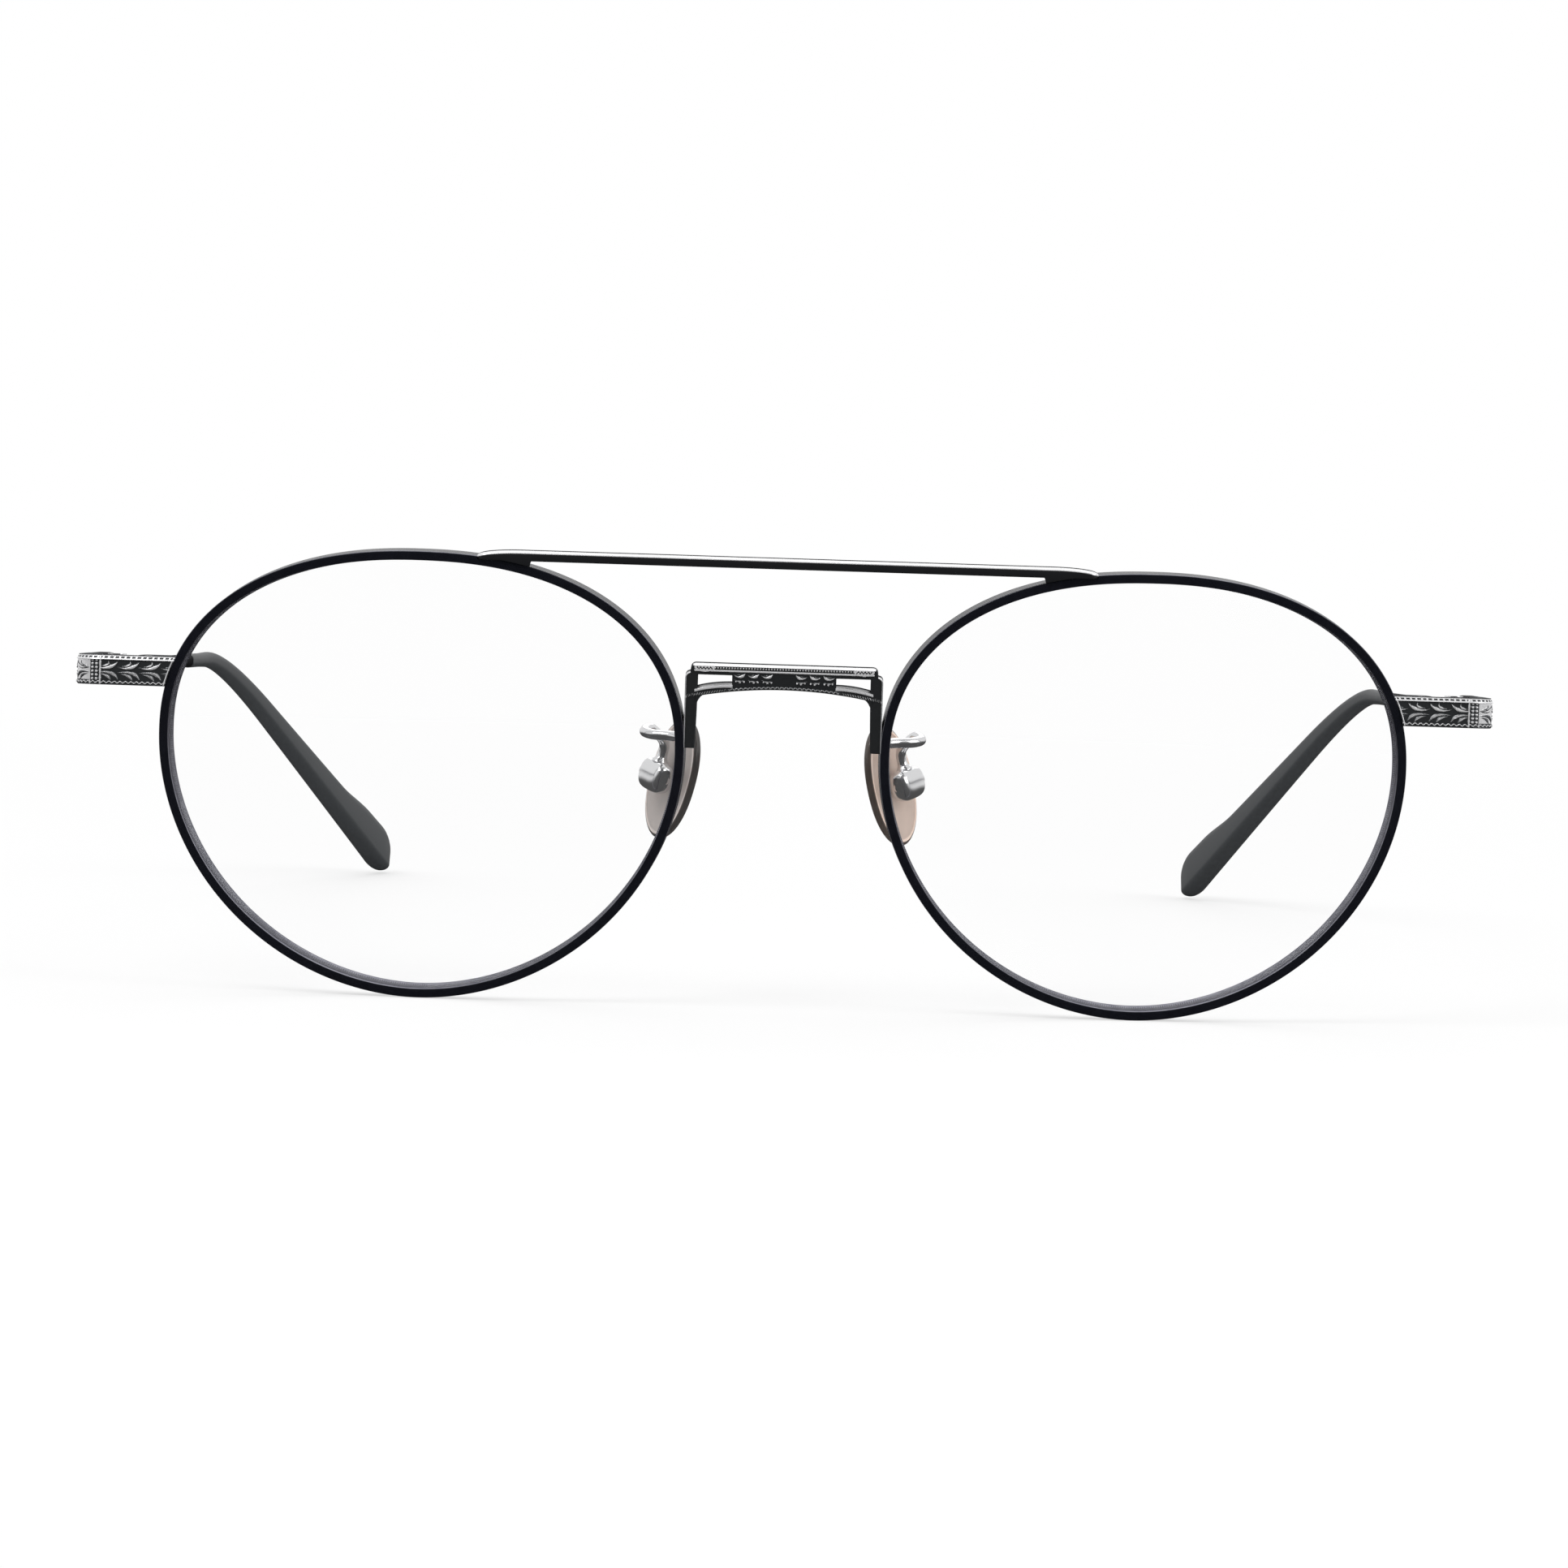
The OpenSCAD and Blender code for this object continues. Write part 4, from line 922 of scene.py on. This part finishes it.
class EYEWEAR_OT_nose_pads(bpy.types.Operator):
    """Nose pads: an oval plate with a raised edge line, domed towards the nose, on a small lug"""
    bl_idname = "eyewear.nose_pads"
    bl_label = "Nose pads"

    def execute(self, context):
        s = sizes()
        at, lug_r = s.box_depth / 2 + 0.45, 0.8
        a = -turns(96)
        x, z = s.pad_w / 2 * np.cos(a), s.pad_len / 2 * power(np.sin(a), 0.9)
        # Share of the outline and distance towards the nose, from the back's middle to the domed front's
        back = [(0.02, 0.08), (0.3, 0.07), (0.6, 0.05), (0.84, 0.04), (0.895, 0.03), (0.91, 0.0), (0.94, 0.0),
                (0.95, 0.03), (0.975, 0.08), (0.99, 0.16), (1.0, 0.24), (1.0, 0.36), (0.99, 0.5)]
        q = np.radians(np.linspace(8, 88, 18))
        k, d = np.concatenate([back, points_of(np.cos(q) ** 0.8, 0.5 + (s.pad_t - 0.5) * np.sin(q))]).T
        # Painted light across the section: 0.5 paints a highlight along the edge line and 1 paints shade over the
        # dome's outer part
        edge = [0] * 4 + [0.02, 0.5, 0.5, 0.8] + [1] * 14 + [0.9, 0.8, 0.6, 0.3, 0.1] + [0] * 4
        plate = points_of(k[:, None] * x, (at + d)[:, None], k[:, None] * z)
        turn = np.radians(np.linspace(90, 270, 17))
        loop = np.concatenate([points_of(lug_r * np.cos(turn), lug_r * np.sin(turn)),
                               [[at + 0.2, -lug_r], [at + 0.2, lug_r]]])
        lug = [np.insert(loop * share, 0, x, axis=1)
               for x, share in ((-0.44, 0.93), (-0.5, 1), (0.5, 1), (0.44, 0.93))]
        shell = Shell()
        shell.tube(at_pad(plate, s), np.array(edge)[:, None])
        shell.tube(at_pad(np.stack(lug), s))
        pair("nose_pad_{}_domed", "nose_pad_{}", shell, "pad_{}", "pad_{}")
        return {"FINISHED"}


class EYEWEAR_OT_pad_arms(bpy.types.Operator):
    """Pad arms: a round wire carried along a smooth curve, with a flared collar on the pad box"""
    bl_idname = "eyewear.pad_arms"
    bl_label = "Pad arms"

    def execute(self, context):
        s = sizes()
        axis = np.array([-np.sin(s.pad_lean), 0, np.cos(s.pad_lean)])
        foot = pad_place(s) + axis * (s.box_h / 2 - 0.12)
        root = np.array([9.71481, 1.24442, 4.20756])        # on the rim's back, in the front's frame
        route = np.stack([root, root + [0, 0.8, 0], root + [1.1, 1.7, 0], root + [2.7, 2.3, 0], root + [3.6, 3.4, 0.1],
                          root + [3.1, 4.9, 0.2], foot + axis * 2.6 + [0.6, -0.6, 0], foot + axis * 1.6, foot])
        # A smooth cubic through the route's points, each piece shaped by the four nearest
        i = np.repeat(np.arange(len(route) - 1), 12)
        f = np.tile(np.arange(12) / 12, len(route) - 1)[:, None]
        p = [route[np.clip(i + k, 0, len(route) - 1)] for k in (-1, 0, 1, 2)]
        line = (2 * p[1] + (p[2] - p[0]) * f + (2 * p[0] - 5 * p[1] + 4 * p[2] - p[3]) * f ** 2
                + (3 * p[1] - 3 * p[2] + p[3] - p[0]) * f ** 3) / 2
        line = np.concatenate([line, foot[None]])
        tangent = unit(np.gradient(line, axis=0))
        n = unit(np.cross([0, 1, -1], tangent))
        v = np.cross(tangent, n)
        a = turns(24)[None, :, None]
        flare = s.wire_r + 0.34 * np.exp(-(np.linalg.norm(line - foot, axis=1) / 0.3) ** 2)
        rings = line[:, None] + flare[:, None, None] * (n[:, None] * np.cos(a) + v[:, None] * np.sin(a))
        shell = Shell()
        shell.tube(at_front(rings, s), 0.9)
        pair("pad_arm_{}_wire", "pad_arm_{}", shell, "silver")
        return {"FINISHED"}


class EYEWEAR_OT_pad_boxes(bpy.types.Operator):
    """Pad boxes: a rounded drum with a slot for the pad's lug, cut on the side of the pad"""
    bl_idname = "eyewear.pad_boxes"
    bl_label = "Pad boxes"

    def execute(self, context):
        s = sizes()
        b = np.radians(np.concatenate([[-89.5, -87, -84, -80], np.linspace(-75, 75, 41), [80, 84, 87, 89.5]]))[:, None]
        a = turns(88)[None]

        shell = Shell()
        shell.tube(at_pad(points_of(s.box_w / 2 * power(np.sin(b), 0.56),
                                    s.box_depth / 2 * np.cos(b) ** 0.4 * power(np.cos(a), 0.72),
                                    s.box_h / 2 * np.cos(b) ** 0.4 * power(np.sin(a), 0.8)), s), 0.95)
        slot, room, back, ahead = 0.6, 1.1, -0.85, 2.0
        corners = np.array([[i, j, k] for i in (-slot, slot) for j in (back, ahead) for k in (-room, room)])
        box = np.array([[0, 1, 3, 2], [4, 6, 7, 5], [0, 4, 5, 1], [2, 3, 7, 6], [0, 2, 6, 4], [1, 5, 7, 3]])
        pieces = pair("pad_box_{}_drum", "pad_box_{}", shell, "silver")
        for side, piece in zip(("left", "right"), pieces):
            mesh = bpy.data.meshes.new("slot")
            mesh.from_pydata((for_side(at_pad(corners, s), side) * MM).tolist(), [],
                             (box[:, ::-1] if side == "right" else box).tolist())
            cutter = bpy.data.objects.new("slot", mesh)
            context.scene.collection.objects.link(cutter)
            cut = piece.modifiers.new("slot", "BOOLEAN")
            cut.operation, cut.solver, cut.object = "DIFFERENCE", "EXACT", cutter
            done = bpy.data.meshes.new_from_object(piece.evaluated_get(context.evaluated_depsgraph_get()))
            piece.modifiers.clear()
            piece.data = done
            bpy.data.objects.remove(cutter)
        return {"FINISHED"}


class EYEWEAR_OT_fittings(bpy.types.Operator):
    """Small fittings: copies of the solids with welded points and softened edges"""
    bl_idname = "eyewear.fittings"
    bl_label = "Small fittings"

    def execute(self, context):
        kinds = (("upper_block", "front", 0.08, "gunmetal"), ("lower_block", "front", 0.08, "gunmetal"),
                 ("closing_screw", "front", 0.04, "silver"), ("front_hinge", "front", 0.06, "temple"),
                 ("hinge_screw", "front", 0.04, "silver"), ("pad_screw", "front", 0.05, "silver"),
                 ("temple_hinge", "temple_{}", 0.06, "temple"))
        for kind, body, soft, look in kinds:
            for side in ("left", "right"):
                solid = frame["nodes"][f"{kind}_{side}"]
                piece = solid.copy()
                piece.data = solid.data.copy()
                piece.name = piece.data.name = f"{kind}_{side}_softened"
                piece.parent = None
                piece.matrix_world = solid.matrix_world.copy()
                context.scene.collection.objects.link(piece)
                weld = piece.modifiers.new("weld", "WELD")
                weld.merge_threshold = 0.002 * MM
                bevel = piece.modifiers.new("soft_edges", "BEVEL")
                bevel.width, bevel.segments = soft * MM, 3
                bevel.limit_method, bevel.angle_limit = "ANGLE", float(np.radians(35))
                mesh = piece.data
                mesh.polygons.foreach_set("use_smooth", np.full(len(mesh.polygons), True))
                worn = mesh.attributes.new("worn", "FLOAT", "POINT")
                level = 0.9 if look == "silver" else 0.12
                worn.data.foreach_set("value", np.full(len(mesh.vertices), level, np.float32))
                mesh.materials.clear()
                mesh.materials.append(finish(look))
                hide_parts(f"{kind}_{side}")
                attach(piece, body.format(side))
        return {"FINISHED"}


class EYEWEAR_OT_stage(bpy.types.Operator):
    """Stage: pale floor, soft lamps, studio surroundings and the camera"""
    bl_idname = "eyewear.stage"
    bl_label = "Stage"

    def floor(self, scene):
        """A pale floor just under the frame. The camera sees it white far away, with the shadow near the frame."""
        material, tree, shader = principled("pale_floor")
        tone = tuple(scene.finish_colours.floor)
        set_inputs(tree, shader, {"Base Color": ramp(tree, noise(tree, 3, 2), (0.3, scaled(tone, 0.99)), (0.7, tone)),
                                  "Roughness": 0.8, "Specular IOR Level": 0.1})
        place = add_node(tree, "TexCoord", out="Object")
        far = add_node(tree, "VectorMath", {0: place}, "Value", operation="LENGTH")
        seen = add_node(tree, "LightPath", out="Is Camera Ray")
        share = math(tree, "MULTIPLY", seen, span(tree, far, 0.62, 1.0, 0.12, 0.4))
        mix_surface(tree, share, shader.outputs["BSDF"], add_node(tree, "Emission", {"Strength": 1.0}))
        reach, level = 3.0, -0.02 * MM
        mesh = bpy.data.meshes.new("floor")
        mesh.from_pydata([(x * reach, y * reach, level) for x, y in ((-1, -1), (1, -1), (1, 1), (-1, 1))], [],
                         [(0, 1, 2, 3)])
        mesh.materials.append(material)
        floor = bpy.data.objects.new("floor", mesh)
        scene.collection.objects.link(floor)
        floor.visible_glossy = False

    def surroundings(self, scene):
        """A studio that is white to the camera and through the lenses. Reflections see it dark in front and below,
        and bright above, behind and at the sides: 0.62 y + 0.55 z + 0.42 |x| + the lesser of 3 z + 0.1 and 0.5."""
        scene.world = bpy.data.worlds.new("studio")
        scene.world.use_nodes = True
        tree = scene.world.node_tree
        way = add_node(tree, "TexCoord", out="Generated")
        x = math(tree, "ABSOLUTE", add_node(tree, "SeparateXYZ", {"Vector": way}, "X"))
        z = add_node(tree, "SeparateXYZ", {"Vector": way}, "Z")
        lean = add_node(tree, "VectorMath", {0: way, 1: (0.0, 0.62, 0.55)}, "Value", operation="DOT_PRODUCT")
        sink = math(tree, "MINIMUM", math(tree, "MULTIPLY_ADD", z, 3.0, 0.1), 0.5)
        level = math(tree, "ADD", math(tree, "MULTIPLY_ADD", x, 0.42, lean), sink)
        back = tree.nodes["Background"]
        set_inputs(tree, back, {"Strength": 0.85, "Color": ramp(tree, level, (0.0, 0.1), (0.32, 0.14), (0.6, 0.55),
                                                                (0.8, 1.0), (1.0, 1.0))})
        white = add_node(tree, "Background", {"Strength": 1.0, "Color": (1, 1, 1, 1)})
        rays = (add_node(tree, "LightPath", out=f"Is {kind} Ray") for kind in ("Camera", "Transmission"))
        mix_surface(tree, math(tree, "MAXIMUM", *rays), back.outputs["Background"], white, "World Output")

    def lamps(self, scene):
        """Three soft square lamps that point at the frame."""
        for name, at, wide, watts in (("key", (-0.5, -0.6, 0.9), 0.6, 4.5), ("fill", (0.8, -0.5, 0.5), 0.6, 3.0),
                                      ("rear", (0.1, 0.9, 0.9), 0.9, 3.0)):
            lamp = bpy.data.lights.new(name, "AREA")
            lamp.shape, lamp.size, lamp.energy = "SQUARE", wide, watts
            holder = bpy.data.objects.new(name, lamp)
            scene.collection.objects.link(holder)
            holder.location = at
            way = Vector((0, -0.03, 0.02)) - holder.location
            holder.rotation_euler = way.to_track_quat("-Z", "Y").to_euler()

    def camera(self, scene):
        """The photograph's camera: its height, side angle and roll in degrees, its distance, and its focal length
        in the photograph's pixels."""
        distance, focal, width = 580, 7465.0, 1932.0
        target = front_origin(sizes()) + [0.28, 0, 0.35]
        height, side, roll = np.radians([3.8, 0.3, 1.82])
        turned = rotation("z", side) @ rotation("x", np.pi / 2 - height) @ rotation("z", roll)
        matrix = np.eye(4)
        matrix[:3, :3], matrix[:3, 3] = turned, (target + distance * turned[:, 2]) * MM
        data = bpy.data.cameras.new("camera")
        data.sensor_width, data.lens = 36.0, focal / width * 36.0
        data.clip_start, data.clip_end = 0.01, 20
        scene.camera = bpy.data.objects.new("camera", data)
        scene.collection.objects.link(scene.camera)
        scene.camera.matrix_world = Matrix(matrix.tolist())

    def execute(self, context):
        for make in (self.floor, self.surroundings, self.lamps, self.camera):
            make(context.scene)
        context.scene.view_settings.view_transform = "Standard"
        return {"FINISHED"}


PIECES = (EYEWEAR_OT_rims, EYEWEAR_OT_lenses, EYEWEAR_OT_top_bar, EYEWEAR_OT_bridge, EYEWEAR_OT_endpieces,
          EYEWEAR_OT_temples, EYEWEAR_OT_tips, EYEWEAR_OT_nose_pads, EYEWEAR_OT_pad_arms, EYEWEAR_OT_pad_boxes,
          EYEWEAR_OT_fittings, EYEWEAR_OT_stage)
GROUPS = {"front_sizes": FrontSizes, "rear_sizes": RearSizes, "finish_colours": FinishColours}


class EYEWEAR_PT_panel(bpy.types.Panel):
    """Lists the pieces in the sidebar, and their sizes and colours"""
    bl_idname = "EYEWEAR_PT_panel"
    bl_label = "Oval Eyeglasses"
    bl_space_type = "VIEW_3D"
    bl_region_type = "UI"
    bl_category = "Eyewear"

    def draw(self, context):
        for piece in PIECES:
            self.layout.operator(piece.bl_idname)
        for group in (getattr(context.scene, name) for name in GROUPS):
            for name in group.bl_rna.properties.keys():
                if name not in ("rna_type", "name"):
                    self.layout.prop(group, name)


CLASSES = (*GROUPS.values(), *PIECES, EYEWEAR_PT_panel)


def register():
    for item in CLASSES:
        bpy.utils.register_class(item)
    for name, group in GROUPS.items():
        setattr(bpy.types.Scene, name, PointerProperty(type=group))


def unregister():
    for name in GROUPS:
        delattr(bpy.types.Scene, name)
    for item in reversed(CLASSES):
        bpy.utils.unregister_class(item)


def main():
    """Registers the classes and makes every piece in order."""
    register()
    for piece in PIECES:
        group, name = piece.bl_idname.split(".")
        getattr(getattr(bpy.ops, group), name)()


if __name__ == "__main__":
    main()
